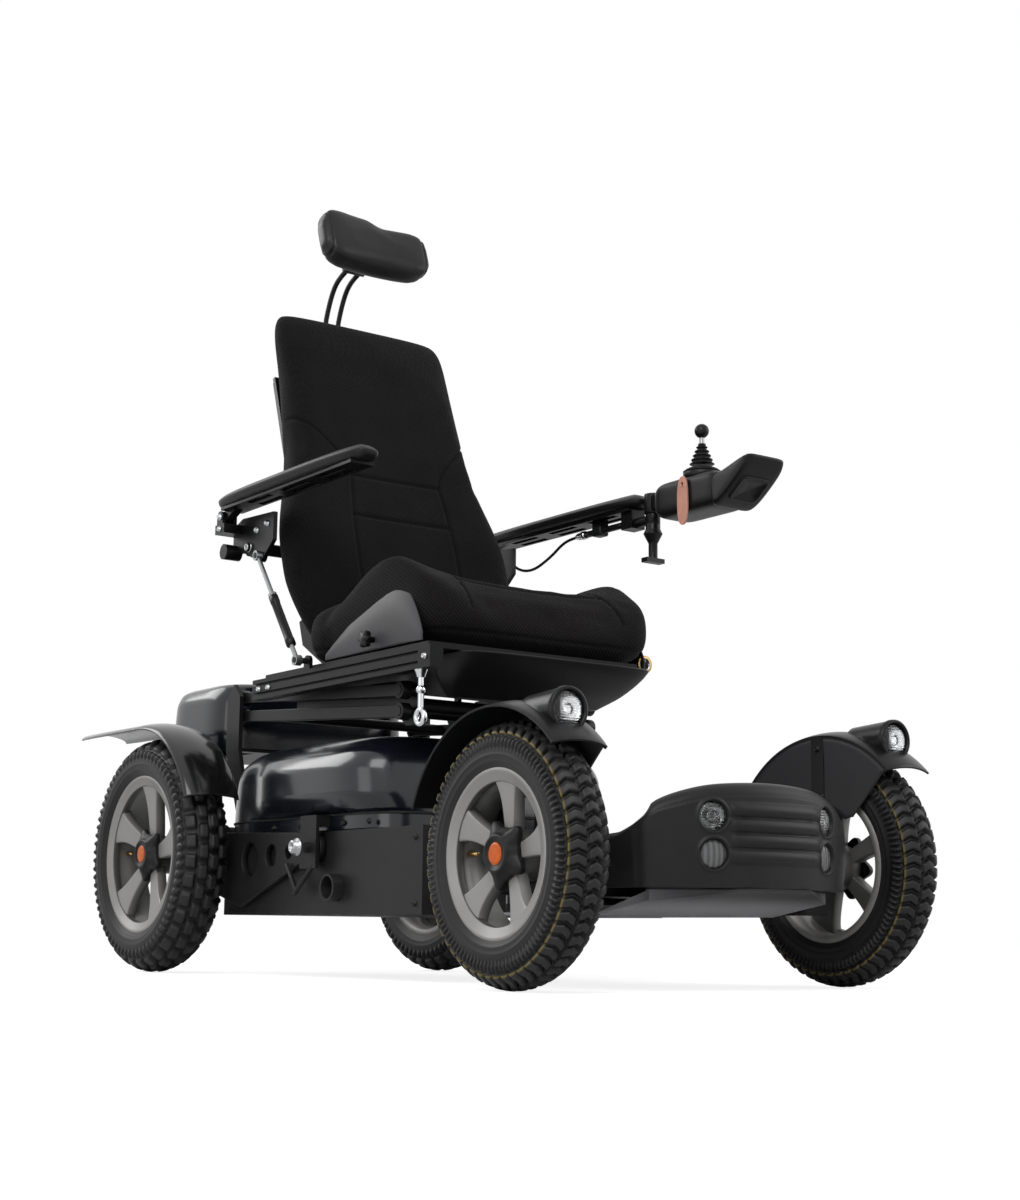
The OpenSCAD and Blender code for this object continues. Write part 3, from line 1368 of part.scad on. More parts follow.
// The slotted rail under an arm pad of the left side, with the lug of its flip hinge
module arm_rail_body() difference() {
  union() {
    block([arm_x0 - arm_rail_w / 2, arm_front + arm_rail_gap, arm_z - arm_rail_t],
      [arm_x0 + arm_rail_w / 2, flip_y - flip_head - arm_rail_t, arm_z]);
    plate(arm_x0 - flip_lug_w / 2, arm_x0 + flip_lug_w / 2) {
      translate([flip_y, flip_z]) circle(r = flip_head);
      polygon([[flip_y, flip_z - flip_head], [flip_y, flip_z + flip_head],
        [flip_y - 4 * flip_head, arm_z - arm_rail_t / 2], [flip_y - 4 * flip_head, arm_z - arm_rail_t]]);
    }
  }
  pin(arm_x0 - flip_lug_w, arm_x0 + flip_lug_w, flip_y, flip_z, flip_r + run_gap);
  for (i = [0:slot_count - 1], s = [-1, 1])
    translate([arm_x0 + s * arm_rail_w / 4 - slot_w / 2, arm_front + slot_start + i * slot_step,
      arm_z - 2 * arm_rail_t])
      cube([slot_w, slot_len, 3 * arm_rail_t]);
}

module arm_rail(side) color("#2a2b2e") on_side(side) {
  arm_rail_body();
  if (side > 0) {
    // The controller's clamp block, tube and swing eye under the left arm
    block([arm_x0 - clamp_block / 2, clamp_block_y - clamp_block / 2,
      control_tube_z - control_tube_r - over],
      [arm_x0 + clamp_block / 2, clamp_block_y + clamp_block / 2, arm_z - arm_rail_t / 2]);
    translate([arm_x0, clamp_block_y, control_tube_z]) rotate([90, 0, 0])
      cylinder(r = control_tube_r, h = clamp_block_y - swing_y - swing_eye_r + control_tube_r / 4);
    difference() {
      translate([arm_x0, swing_y, swing_eye_z]) cylinder(r = swing_eye_r, h = swing_eye_h);
      translate([arm_x0, swing_y, swing_eye_z - over]) cylinder(r = swing_r + run_gap,
        h = swing_eye_h + 2 * over);
    }
  }
}

// Arm pads
pad_fn = 32;
pad_square_share = 0.55;

module arm_pad(side) color("#1d1e20") on_side(side)
  loft([for (q = [[0, 0.9], [0.12, 0.97], [0.45, 1], [0.8, 0.95], [0.95, 0.82], [1, 0.66]])
    ring([arm_x0, flip_y - arm_len / 2 + flip_r / 2], arm_z + fit_gap + q[0] * arm_h,
      arm_w / 2 - (1 - q[1]) * arm_w / 2, arm_len / 2 + flip_r / 2 - (1 - q[1]) * arm_w / 2,
        pad_square_share, pad_fn)]);

// Clamp knob under the swing eye
knob_r = 17;
knob_cone_h = 26;
knob_foot_r = 20;
knob_foot_h = 8;
knob_neck_r = 8;
knob_len = 69;

module clamp_knob() color("#1a1b1c") translate([arm_x0, swing_y, swing_eye_z - fit_gap]) rotate([180, 0,
  0]) {
  rotate_extrude() polygon([[0, 0], [swing_eye_r, 0], [swing_eye_r, knob_cone_h / 3],
    [knob_r, knob_cone_h * 2 / 3],
    [knob_neck_r, knob_cone_h * 4 / 3], [knob_neck_r, knob_len - knob_foot_h],
      [0, knob_len - knob_foot_h]]);
  translate([-knob_foot_r, -knob_neck_r, knob_len - knob_foot_h]) cube([2 * knob_foot_r, 2 * knob_neck_r,
    knob_foot_h]);
}

// Controller housing
control_out = 60;
control_rear = arm_front - control_out;
control_top = 842;
lug_z = swing_eye_z + swing_eye_h + fit_gap;
control_lug_h = 10;
joy_out = 149;
joy_y = arm_front - joy_out;
joy_z = 851;
collar_r = 32;
collar_h = 10;
pocket_r = 20;
pocket_h = 22;
hood_w = 88;
hood_shares = [[0, 0.02], [0, 0.66], [0.32, 0.75], [0.95, 1], [1, 0.94], [0.88, 0.66], [0.2, 0]];
hood_len = 98;
hood_h = 76;
hood_out = 212;
hood_y = arm_front - hood_out;
hood_z = 775;
gimbal_pin_r = 2;
control_fn = 28;
tag_gap = 2;
tag_pin_r = 3;
tag_z = 826;
tag_reach = 6;
tag_fn = 24;

module controller_body() color("#26272a") difference() {
  union() {
    loft([for (q = [[0, 0.86], [0.16, 0.97], [0.6, 1], [0.82, 0.95], [0.95, 0.86], [1, 0.76]])
      ring([arm_x0, control_rear - control_len / 2], control_top - control_h + q[0] * control_h,
        control_w / 2 * q[1], control_len / 2 - (1 - q[1]) * control_w / 2, 0.36, control_fn)]);
    // The raised display hood ahead of the stick
    plate(arm_x0 - hood_w / 2, arm_x0 + hood_w / 2) polygon([for (q = hood_shares)
      [hood_y - q[0] * hood_len, hood_z + q[1] * hood_h]]);
    translate([arm_x0, joy_y, control_top - over]) cylinder(r = collar_r, h = collar_h + over);
    // The pin of the key tag
    pin(arm_x0 - control_w / 2 - tag_gap - tag_reach, arm_x0 - control_w / 4, joy_y, tag_z, tag_pin_r);
    // The swing lug over the eye
    translate([arm_x0, swing_y, lug_z]) cylinder(r = swing_eye_r, h = control_lug_h);
    block([arm_x0 - swing_eye_r * 2 / 3, control_rear - control_len / 8, lug_z],
      [arm_x0 + swing_eye_r * 2 / 3, swing_y, lug_z + control_lug_h]);
    translate([arm_x0, swing_y, swing_eye_z + over]) cylinder(r = swing_r, h = lug_z - swing_eye_z);
  }
  translate([arm_x0, joy_y, control_top + collar_h - pocket_h]) cylinder(r = pocket_r,
    h = pocket_h + over);
  pin(arm_x0 - pocket_r - 2 * gimbal_pin_r, arm_x0 + pocket_r + 2 * gimbal_pin_r, joy_y,
    joy_z - gimbal_pin_r,
    gimbal_pin_r + run_gap);
}

// Joystick
boot_rings = 2;
boot_h = 9;
boot_hole = 17;
boot_step = 3;
gimbal_r = 14;
gimbal_bore = 8;
gimbal_h = 8;
stick_r = 4;
stick_ball_r = 6;
ball_z = 925;
bellows_low = 870;
bellows_h = 18;
bellows_count = 3;
bellows_r = 20;
bellows_top_r = 9;

module joystick_boot() color("#17181a") translate([arm_x0, joy_y,
  control_top + collar_h + fit_gap / 3]) difference() {
  for (i = [0:boot_rings - 1]) translate([0, 0, boot_h / boot_rings * i])
    cylinder(r1 = collar_r - boot_step * i, r2 = collar_r - boot_step * (i + 1), h = boot_h / boot_rings);
  translate([0, 0, -over]) cylinder(r = boot_hole, h = boot_h + 2 * over);
}

module joystick_gimbal() color("#54575c") translate([arm_x0, joy_y, joy_z - gimbal_pin_r]) difference() {
  union() {
    translate([0, 0, -gimbal_h / 2]) cylinder(r = gimbal_r, h = gimbal_h);
    pin(-pocket_r - gimbal_pin_r, pocket_r + gimbal_pin_r, 0, 0, gimbal_pin_r);
  }
  translate([0, 0, -gimbal_h]) cylinder(r = gimbal_bore, h = 2 * gimbal_h);
  rotate([0, 0, 90]) pin(-gimbal_r - over, gimbal_r + over, 0, 0, gimbal_pin_r + run_gap);
}

module joystick_stick() color("#1b1c1d") translate([arm_x0, joy_y, 0]) {
  translate([0, 0, joy_z - gimbal_pin_r]) {
    sphere(r = stick_ball_r);
    rotate([0, 0, 90]) pin(-gimbal_r + fit_gap, gimbal_r - fit_gap, 0, 0, gimbal_pin_r);
    cylinder(r = stick_r, h = ball_z - joy_z);
  }
  for (i = [0:bellows_count - 1]) {
    step = (bellows_r - bellows_top_r) / bellows_count;
    translate([0, 0, bellows_low + bellows_h / bellows_count * i])
      cylinder(r1 = bellows_r - step * i, r2 = bellows_r - step * (i + 1), h = bellows_h / bellows_count);
  }
  translate([0, 0, ball_z]) sphere(r = ball_r);
}

// Key tag hanging from a pin on the controller's right side
tag_w = 26;
tag_len = 84;
tag_t = 4;
tag_round_share = 0.8;

module key_tag() color("#d3a18d") {
  x = arm_x0 - control_w / 2 - tag_gap;
  difference() {
    plate(x - tag_t, x) translate([joy_y, tag_z - tag_len / 2 + tag_w / 2])
      polygon([for (i = [0:tag_fn - 1]) let (t = 360 * i / tag_fn)
        [tag_w / 2 * spow(cos(t), tag_round_share), tag_len / 2 * spow(sin(t), tag_round_share)]]);
    pin(x - tag_t - over, x + over, joy_y, tag_z, tag_pin_r + run_gap);
  }
}

// Moves a piece from stations about the middle of the wheelbase to the frame of the whole part
module placed() {
  translate([0, mid_y, 0]) children();
}

placed() {
  chassis_frame();
  battery_pair();
  body_shroud();
  rear_shroud();
  lift_tower();
  footplate();
  front_bumper();
  bumper_lamps();
  front_axle_beam();
  steering_motor();
  knuckle(-1);  // knuckle_right
  knuckle(1);  // knuckle_left
  tie_rod();
  front_mudguard(-1);  // front_mudguard_right
  front_mudguard(1);  // front_mudguard_left
  headlamp(-1);  // headlamp_right
  headlamp(1);  // headlamp_left
  front_tyre(-1);  // front_tyre_right
  front_tyre(1);  // front_tyre_left
  front_rim(-1);  // front_rim_right
  front_rim(1);  // front_rim_left
  front_hubcap(-1);  // front_hubcap_right
  front_hubcap(1);  // front_hubcap_left
  rear_arm(-1);  // rear_arm_right
  rear_arm(1);  // rear_arm_left
  drive_motor(-1);  // drive_motor_right
  drive_motor(1);  // drive_motor_left
  rear_mudguard(-1);  // rear_mudguard_right
  rear_mudguard(1);  // rear_mudguard_left
  rear_tyre(-1);  // rear_tyre_right
  rear_tyre(1);  // rear_tyre_left
  rear_rim(-1);  // rear_rim_right
  rear_rim(1);  // rear_rim_left
  rear_hubcap(-1);  // rear_hubcap_right
  rear_hubcap(1);  // rear_hubcap_left
  lift_arms_lower();
  lift_arms_upper();
  seat_carriage();
  seat_rails();
  seat_tray();
  seat_cushion();
  tie_down_eyes();
  receptacle_tube();
  back_frame();
  back_cushion();
  headrest_posts();
  headrest_plate();
  headrest_pad();
  arm_brackets();
  arm_rods();
  arm_rail(-1);  // arm_rail_right
  arm_rail(1);  // arm_rail_left
  arm_pad(-1);  // arm_pad_right
  arm_pad(1);  // arm_pad_left
  clamp_knob();
  controller_body();
  joystick_boot();
  joystick_gimbal();
  joystick_stick();
  key_tag();
}
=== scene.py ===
# All terrain powered wheelchair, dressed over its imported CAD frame.
# Metres. +X is the sitter's left, -Y the front and +Z up, with the floor at z = 0.
import math

import bmesh
import bpy
import numpy as np
from mathutils import Matrix


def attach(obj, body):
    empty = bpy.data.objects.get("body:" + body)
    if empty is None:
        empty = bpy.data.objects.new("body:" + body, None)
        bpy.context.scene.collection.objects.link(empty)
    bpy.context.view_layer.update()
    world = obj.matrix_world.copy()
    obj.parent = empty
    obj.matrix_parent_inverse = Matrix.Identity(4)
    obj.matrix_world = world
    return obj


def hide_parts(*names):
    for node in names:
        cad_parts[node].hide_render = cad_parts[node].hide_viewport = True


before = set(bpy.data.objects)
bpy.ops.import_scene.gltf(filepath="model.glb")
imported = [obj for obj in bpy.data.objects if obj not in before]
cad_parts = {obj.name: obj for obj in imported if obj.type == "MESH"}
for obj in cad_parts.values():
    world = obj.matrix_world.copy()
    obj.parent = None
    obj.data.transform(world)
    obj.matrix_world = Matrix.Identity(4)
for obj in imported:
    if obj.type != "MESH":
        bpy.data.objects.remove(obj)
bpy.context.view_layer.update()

# Studio
# A pale floor under a white surround, lit by large soft lamps. The camera stands low on the sitter's right and
# ahead of the chair, where the photograph was taken, with a short telephoto lens.
eye = (-1.79574, -2.6356, 0.07957)
heading, climb, cant = np.radians([-35.73, 10.0, 0.57])
ahead = np.array([-np.sin(heading) * np.cos(climb), np.cos(heading) * np.cos(climb), np.sin(climb)])
level = np.array([np.cos(heading), np.sin(heading), 0.0])
upright = np.cross(level, ahead)
across = np.cos(cant) * level + np.sin(cant) * upright
above = -np.sin(cant) * level + np.cos(cant) * upright
camera = bpy.data.objects.new("photo_camera", bpy.data.cameras.new("photo_camera"))
camera.data.lens, camera.data.sensor_width = 56.23, 36.0
camera.data.clip_end = 50.0
stand = np.eye(4)
stand[:3, 0], stand[:3, 1], stand[:3, 2], stand[:3, 3] = across, above, -ahead, eye
camera.matrix_world = Matrix(stand.tolist())
bpy.context.scene.collection.objects.link(camera)
bpy.context.scene.camera = camera
bpy.context.scene.view_settings.view_transform = "Standard"


def put(tree, node, **sockets):
    """Sets sockets of a node: i0, i1 name them by place, other names have _ for a space, and a value that is another
    node's output is linked."""
    for key, value in sockets.items():
        s = node.inputs[int(key[1:])] if key[1:].isdigit() else node.inputs[key.replace("_", " ")]
        if isinstance(value, bpy.types.NodeSocket):
            tree.links.new(value, s)
        else:
            s.default_value = value


def add(tree, kind, settings=None, **sockets):
    """A new node of a shader tree with its settings and sockets."""
    node = tree.nodes.new(kind)
    for key, value in (settings or {}).items():
        setattr(node, key, value)
    put(tree, node, **sockets)
    return node


def calc(tree, operation, *values, clamp=False):
    """A maths node over the values in their order, held between 0 and 1 when it clamps."""
    return add(tree, "ShaderNodeMath", {"operation": operation, "use_clamp": clamp},
               **{"i%d" % place: value for place, value in enumerate(values)})


def blend(tree, share, low, high):
    """A colour that goes from low to high with the share."""
    return add(tree, "ShaderNodeMix", {"data_type": "RGBA"}, i0=share, i6=low, i7=high)


def points_of(x, y, z):
    """A grid of points from three coordinates, each spread to the shape that they have in common."""
    return np.stack(np.broadcast_arrays(x, y, z), -1)


def around(steps):
    """A row of angles round a full turn, without its end."""
    return np.linspace(0, 2 * np.pi, steps, endpoint=False)[None, :]


def unit(v):
    """Directions of length 1: each divided by its length."""
    return v / np.linalg.norm(v, axis=-1, keepdims=True)


surround = bpy.data.worlds.new("white_surround")
surround.use_nodes = True
bpy.context.scene.world = surround
tree = surround.node_tree
tree.nodes.clear()
path = add(tree, "ShaderNodeLightPath")
seen = calc(tree, "MAXIMUM", path.outputs["Is Camera Ray"], path.outputs["Is Glossy Ray"])
seen = calc(tree, "MAXIMUM", seen.outputs[0], path.outputs["Is Transmission Ray"])
shade = add(tree, "ShaderNodeMix", {"data_type": "FLOAT"}, i0=seen.outputs[0], i2=0.36, i3=1.0)
light = add(tree, "ShaderNodeBackground", Strength=shade.outputs[0], Color=(1.0, 1.0, 1.0, 1.0))
add(tree, "ShaderNodeOutputWorld", Surface=light.outputs[0])

for label, place, aim, size, power in [
        ("key_lamp", (-2.6, -2.4, 3.2), (0.0, 0.0, 0.6), 2.4, 90.0),
        ("fill_lamp", (2.8, -2.2, 2.0), (0.0, -0.1, 0.5), 2.2, 30.0),
        ("rear_lamp", (-1.6, 3.0, 2.6), (0.0, 0.2, 0.5), 2.0, 50.0),
        ("low_lamp", (-2.8, -0.6, 0.7), (0.0, 0.0, 0.35), 1.4, 9.0)]:
    lamp = bpy.data.objects.new(label, bpy.data.lights.new(label, "AREA"))
    lamp.data.size, lamp.data.energy = size, power
    back = unit(np.array(place) - np.array(aim))
    side = unit(np.cross([0.0, 0.0, 1.0], back))
    turn = np.eye(4)
    turn[:3, 0], turn[:3, 1], turn[:3, 2], turn[:3, 3] = side, np.cross(back, side), back, place
    lamp.matrix_world = Matrix(turn.tolist())
    bpy.context.scene.collection.objects.link(lamp)

paper = bpy.data.materials.new("white_paper")
paper.use_nodes = True
tree = paper.node_tree
tree.nodes.clear()
path = add(tree, "ShaderNodeLightPath")
mottle = add(tree, "ShaderNodeTexNoise", Scale=2.0)
tone = blend(tree, mottle.outputs[0], (0.9, 0.9, 0.9, 1), (0.93, 0.93, 0.93, 1))
matt = add(tree, "ShaderNodeBsdfDiffuse", Color=tone.outputs[2])
glow = add(tree, "ShaderNodeEmission", Strength=1.86)
part = calc(tree, "MULTIPLY", path.outputs["Is Camera Ray"], 0.44)
both = add(tree, "ShaderNodeMixShader", i0=part.outputs[0], i1=matt.outputs[0], i2=glow.outputs[0])
add(tree, "ShaderNodeOutputMaterial", Surface=both.outputs[0])
floor_mesh = bpy.data.meshes.new("paper_floor")
floor_rings, floor_steps, floor_reach, floor_z = 10, 48, 9.0, -0.0005
reach = np.linspace(0.0, floor_reach, floor_rings)[:, None]
round_floor = around(floor_steps)
floor_points = points_of(reach * np.cos(round_floor), reach * np.sin(round_floor), floor_z)
floor_grid = np.arange(floor_rings * floor_steps).reshape(floor_rings, floor_steps)
floor_next = np.roll(floor_grid, -1, axis=1)
floor_faces = np.stack([floor_grid[:-1], floor_grid[1:], floor_next[1:], floor_next[:-1]], -1).reshape(-1, 4)
floor_mesh.from_pydata(floor_points.reshape(-1, 3).tolist(), [], floor_faces.tolist())
floor_mesh.materials.append(paper)
floor = bpy.data.objects.new("paper_floor", floor_mesh)
bpy.context.scene.collection.objects.link(floor)

# Chassis, lift tower and front axle
# A welded steel box with the lift tower at its rear and the axle beam ahead, powder coated satin black. The coating
# has a fine orange peel, and road dust gathers on it toward the floor.


def effect(name, inputs, outputs):
    """An empty shader node group with named sockets, its input node and its output node."""
    group = bpy.data.node_groups.new(name, "ShaderNodeTree")
    for label, kind, value in inputs:
        group.interface.new_socket(label, in_out="INPUT", socket_type=kind).default_value = value
    for label, kind in outputs:
        group.interface.new_socket(label, in_out="OUTPUT", socket_type=kind)
    return group, group.nodes.new("NodeGroupInput"), group.nodes.new("NodeGroupOutput")


# Grain: fine noise for the relief, and wide soft patches for the tone
grain_group, feed, drain = effect("surface_grain",
                                  [("Grain", "NodeSocketFloat", 0.001), ("Patch", "NodeSocketFloat", 0.1)],
                                  [("Height", "NodeSocketFloat"), ("Patches", "NodeSocketFloat")])
spot = add(grain_group, "ShaderNodeTexCoord")
per_grain = calc(grain_group, "DIVIDE", 1.0, feed.outputs["Grain"])
per_patch = calc(grain_group, "DIVIDE", 1.0, feed.outputs["Patch"])
fine = add(grain_group, "ShaderNodeTexNoise", Vector=spot.outputs["Object"], Scale=per_grain.outputs[0], Detail=2.0)
wide = add(grain_group, "ShaderNodeTexNoise", Vector=spot.outputs["Object"], Scale=per_patch.outputs[0], Detail=3.0)
grain_group.links.new(fine.outputs[0], drain.inputs["Height"])
grain_group.links.new(wide.outputs[0], drain.inputs["Patches"])

# Dust: a mask that grows toward the floor below the reach, broken up by noise
dust_group, feed, drain = effect("road_dust",
                                 [("Reach", "NodeSocketFloat", 0.35), ("Amount", "NodeSocketFloat", 0.3)],
                                 [("Mask", "NodeSocketFloat")])
spot = add(dust_group, "ShaderNodeTexCoord")
axes = add(dust_group, "ShaderNodeSeparateXYZ", i0=spot.outputs["Object"])
share = calc(dust_group, "DIVIDE", axes.outputs["Z"], feed.outputs["Reach"])
share = calc(dust_group, "SUBTRACT", 1.0, share.outputs[0], clamp=True)
cloud = add(dust_group, "ShaderNodeTexNoise", Vector=spot.outputs["Object"], Scale=28.0, Detail=5.0)
mask = calc(dust_group, "MULTIPLY", share.outputs[0], cloud.outputs[0])
mask = calc(dust_group, "MULTIPLY", mask.outputs[0], feed.outputs["Amount"], clamp=True)
dust_group.links.new(mask.outputs[0], drain.inputs["Mask"])


def coating(name, colour, rough, grain=0.0012, relief=0.00005, patch=0.12, shade=0.16, dust=0.25, reach=0.4,
            metal=0.0, coat=0.0, shine=0.2):
    """A finish of one colour: its tone drifts by the shade over the patches, dust lies over it toward the floor, its
    roughness follows both, and the grain gives the relief."""
    finish = bpy.data.materials.new(name)
    finish.use_nodes = True
    tree = finish.node_tree
    skin = tree.nodes["Principled BSDF"]
    put(tree, skin, Metallic=metal, Coat_Weight=coat, Coat_Roughness=0.06, Specular_IOR_Level=shine)
    texture = add(tree, "ShaderNodeGroup", {"node_tree": grain_group}, Grain=grain, Patch=patch)
    dirt = add(tree, "ShaderNodeGroup", {"node_tree": dust_group}, Reach=reach, Amount=dust)
    tone = blend(tree, texture.outputs["Patches"], [c * (1 - shade) for c in colour] + [1],
                 [c * (1 + shade) for c in colour] + [1])
    tone = blend(tree, dirt.outputs["Mask"], tone.outputs[2], (0.085, 0.08, 0.073, 1))
    dull = calc(tree, "MULTIPLY_ADD", texture.outputs["Patches"], 0.3 * rough, 0.85 * rough)
    dull = calc(tree, "MULTIPLY_ADD", dirt.outputs["Mask"], 0.4, dull.outputs[0], clamp=True)
    bump = add(tree, "ShaderNodeBump", Strength=0.8, Distance=relief, Height=texture.outputs["Height"])
    put(tree, skin, Base_Color=tone.outputs[2], Roughness=dull.outputs[0], Normal=bump.outputs[0])
    return finish


def dress(finish, *names, edge=0.0):
    """Gives CAD nodes their finish; an edge above zero rounds their sharp edges by that radius."""
    for n in names:
        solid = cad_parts[n]
        if not solid.material_slots:
            solid.data.materials.append(finish)
        for s in solid.material_slots:
            s.material = finish
        if edge:
            weld = solid.modifiers.new("weld", "WELD")
            weld.merge_threshold = 0.00002
            round_off = solid.modifiers.new("round_off", "BEVEL")
            round_off.width, round_off.segments, round_off.limit_method = edge, 2, "ANGLE"
            round_off.angle_limit = math.radians(35)
            round_off.harden_normals = True


chassis_coat = coating("satin_chassis_coat", (0.0075, 0.0078, 0.0084), 0.42, grain=0.0016, relief=0.00007, dust=0.16)
dress(chassis_coat, "chassis_frame", "lift_tower", "front_axle_beam", edge=0.0012)


def surface(name, sheets, finish, body, replaces=(), marks=None, wall=0.0, offset=-1.0, closed=True):
    """A mesh of one or more sheets. Each sheet is a grid of points (rows, columns, 3) whose columns close on
    themselves while closed is set; a face joins each point to its neighbours along the row and the column. Points
    that coincide at a pole or a seam are merged and the faces turned outwards. Marks are named values, one for each
    point. A wall thickens the sheet inwards, or to both sides at offset 0."""
    points, faces, start = [], [], 0
    for grid in sheets:
        rows, columns = grid.shape[:2]
        index = np.arange(rows * columns).reshape(rows, columns) + start
        after = np.roll(index, -1, axis=1) if closed else index[:, 1:]
        here = index if closed else index[:, :-1]
        faces.append(np.stack([here[:-1], after[:-1], after[1:], here[1:]], -1).reshape(-1, 4))
        points.append(grid.reshape(-1, 3))
        start += rows * columns
    mesh = bpy.data.meshes.new(name)
    mesh.from_pydata(np.concatenate(points).tolist(), [], np.concatenate(faces).tolist())
    for label, values in (marks or {}).items():
        mesh.attributes.new(label, "FLOAT", "POINT").data.foreach_set("value",
                np.concatenate([v.ravel() for v in values]))
    work = bmesh.new()
    work.from_mesh(mesh)
    bmesh.ops.remove_doubles(work, verts=work.verts, dist=1e-6)
    bmesh.ops.dissolve_degenerate(work, dist=1e-7, edges=work.edges)
    bmesh.ops.recalc_face_normals(work, faces=work.faces)
    work.to_mesh(mesh)
    work.free()
    mesh.shade_smooth()
    mesh.materials.append(finish)
    made = bpy.data.objects.new(name, mesh)
    bpy.context.scene.collection.objects.link(made)
    if wall:
        thick = made.modifiers.new("wall", "SOLIDIFY")
        thick.thickness, thick.offset = wall, offset
    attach(made, body)
    if replaces:
        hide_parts(*replaces)
    return made


def turned(profile, steps, origin, axis):
    """A profile of (radius, height) points turned about an axis through the origin, as a grid of points."""
    axis = np.array(axis, float)
    first = unit(np.cross(axis, [0.0, 0.0, 1.0] if abs(axis[2]) < 0.9 else [1.0, 0.0, 0.0]))
    second = np.cross(axis, first)
    a = around(steps)[..., None]
    r, h = np.array(profile, float)[:, :1, None], np.array(profile, float)[:, 1:, None]
    return np.array(origin) + r * (np.cos(a) * first + np.sin(a) * second) + h * axis


def bolt(origin, axis, size):
    """Rows of a cap screw: a washer, a six sided head with a rounded edge, and its socket, as one turned profile."""
    profile = [(0, -0.001), (size * 1.05, -0.001), (size * 1.05, size * 0.14), (size * 0.78, size * 0.2),
               (size * 0.78, size * 0.75), (size * 0.66, size * 0.86), (size * 0.4, size * 0.86),
               (size * 0.4, size * 0.4), (0, size * 0.4)]
    return turned(profile, 18, origin, axis)


bolt_zinc = coating("bright_zinc", (0.42, 0.43, 0.44), 0.3, grain=0.0004, relief=0.00002, dust=0.2, metal=1.0)
middle = -0.0335
pivot_y, pivot_z = 0.095 + middle, 0.210
pivot_tip = 0.2772
surface("pivot_bolts", [bolt((s * pivot_tip, pivot_y, pivot_z), (s, 0, 0), 0.014) for s in (-1, 1)], bolt_zinc,
        "base")
bolt_black = coating("black_oxide", (0.02, 0.02, 0.021), 0.38, grain=0.0004, relief=0.00002, dust=0.1, metal=0.8)
chassis_side = 0.2361
surface("chassis_bolts", [bolt((s * chassis_side, y + middle, z), (s, 0, 0), 0.0045) for s in (-1, 1)
                          for y, z in [(-0.195, 0.218), (-0.195, 0.118)]], bolt_black, "base")

# Batteries
# Two sealed batteries in moulded grey cases stand in the chassis box under the shroud.
dress(coating("battery_moulding", (0.035, 0.037, 0.042), 0.5, grain=0.0009, dust=0.1), "battery_pair", edge=0.002)

# Body shroud
# A vacuum formed cover over the batteries, lacquered blue black. Its sides swell between the wheels over a flat band
# at the foot, and the lacquer mirrors the lamps in long soft streaks.


def rounded_ring(angle, half_x, half_y, power):
    """A ring that is an ellipse at power 1 and squarer as the power falls: cosine and sine raised to it, signs
    kept."""
    c, s = np.cos(angle), np.sin(angle)
    return half_x * np.sign(c) * np.abs(c) ** power, half_y * np.sign(s) * np.abs(s) ** power


def soft_curve(x, xs, ys):
    """A smooth curve through given points: the cubic between each two, with slopes limited so that it doesn't
    swing."""
    xs, ys = np.array(xs, float), np.array(ys, float)
    d = np.diff(ys) / np.diff(xs)
    m = np.concatenate([[d[0]], np.where(d[1:] * d[:-1] > 0, 2 * d[1:] * d[:-1] / (d[1:] + d[:-1] + 1e-12), 0.0),
                        [d[-1]]])
    k = np.clip(np.searchsorted(xs, x, side="right") - 1, 0, len(xs) - 2)
    h = (xs[1:] - xs[:-1])[k]
    t = np.clip((x - xs[k]) / h, 0.0, 1.0)
    return ((1 + 2 * t) * (1 - t) ** 2 * ys[k] + t * (1 - t) ** 2 * h * m[k] + t * t * (3 - 2 * t) * ys[k + 1]
            + t * t * (t - 1) * h * m[k + 1])


def drawn_in(ring, point, *shares):
    """Copies of a ring drawn in to a point, one for each share of its size."""
    return [point + (ring - point) * share for share in shares]


shroud_foot, shroud_rise, shroud_power = 0.2363, 0.158, 0.32
shroud_half_x, shroud_half_y, shroud_middle = 0.230, 0.2885, 0.1935 + middle
up = np.concatenate([np.linspace(0, 0.9, 46), 0.9 + 0.1 * np.sin(np.linspace(0.05, 1, 22) * np.pi / 2)])[:, None]
draw_side = soft_curve(up, [0, 0.6, 0.76, 0.9, 0.97, 1], [0, 0, 0.02, 0.1, 0.2, 0.34])
draw_end = soft_curve(up, [0, 0.24, 0.6, 0.76, 0.9, 0.97, 1], [0, 0.01, 0.04, 0.07, 0.14, 0.22, 0.34])
swell = soft_curve(up, [0, 0.17, 0.2, 0.26, 0.38, 0.6, 0.76, 0.9, 0.97, 1],
                   [0, 0, 0.35, 0.62, 1, 1, 0.82, 0.4, 0.12, 0])
angle = around(300)
shroud_x, shroud_y = rounded_ring(angle, shroud_half_x * (1 - draw_side), shroud_half_y * (1 - draw_end),
                                  shroud_power)
near = np.exp(-(((shroud_y + shroud_middle - middle - 0.1) / 0.196) ** 6))
shroud_x = shroud_x + np.sign(shroud_x) * 0.030 * swell * near * np.minimum(1, 3 * np.abs(shroud_x) / 0.236)
shroud_skin = points_of(shroud_x, shroud_y + shroud_middle, shroud_foot + up * shroud_rise)
lid_middle = np.array([0.0, shroud_middle, shroud_foot + shroud_rise])
shroud_skin = np.concatenate([shroud_skin] + drawn_in(shroud_skin[-1:], lid_middle, 0.8, 0.5, 0.2, 0.0))
shroud_lacquer = coating("blue_black_lacquer", (0.0042, 0.0056, 0.0095), 0.2, grain=0.004, relief=0.00003, patch=0.3,
                         shade=0.1, dust=0.03, coat=0.15, shine=0.5)
body_shroud = surface("body_shroud_skin", [shroud_skin], shroud_lacquer, "base", ["body_shroud"],
                      wall=0.003)
work = bmesh.new()
work.from_mesh(body_shroud.data)
tower_inside, tower_outside, tower_front = 0.198, 0.210, 0.389 + middle
slot_faces = [f for f in work.faces if tower_inside < abs(f.calc_center_median().x) < tower_outside
              and f.calc_center_median().y > tower_front]
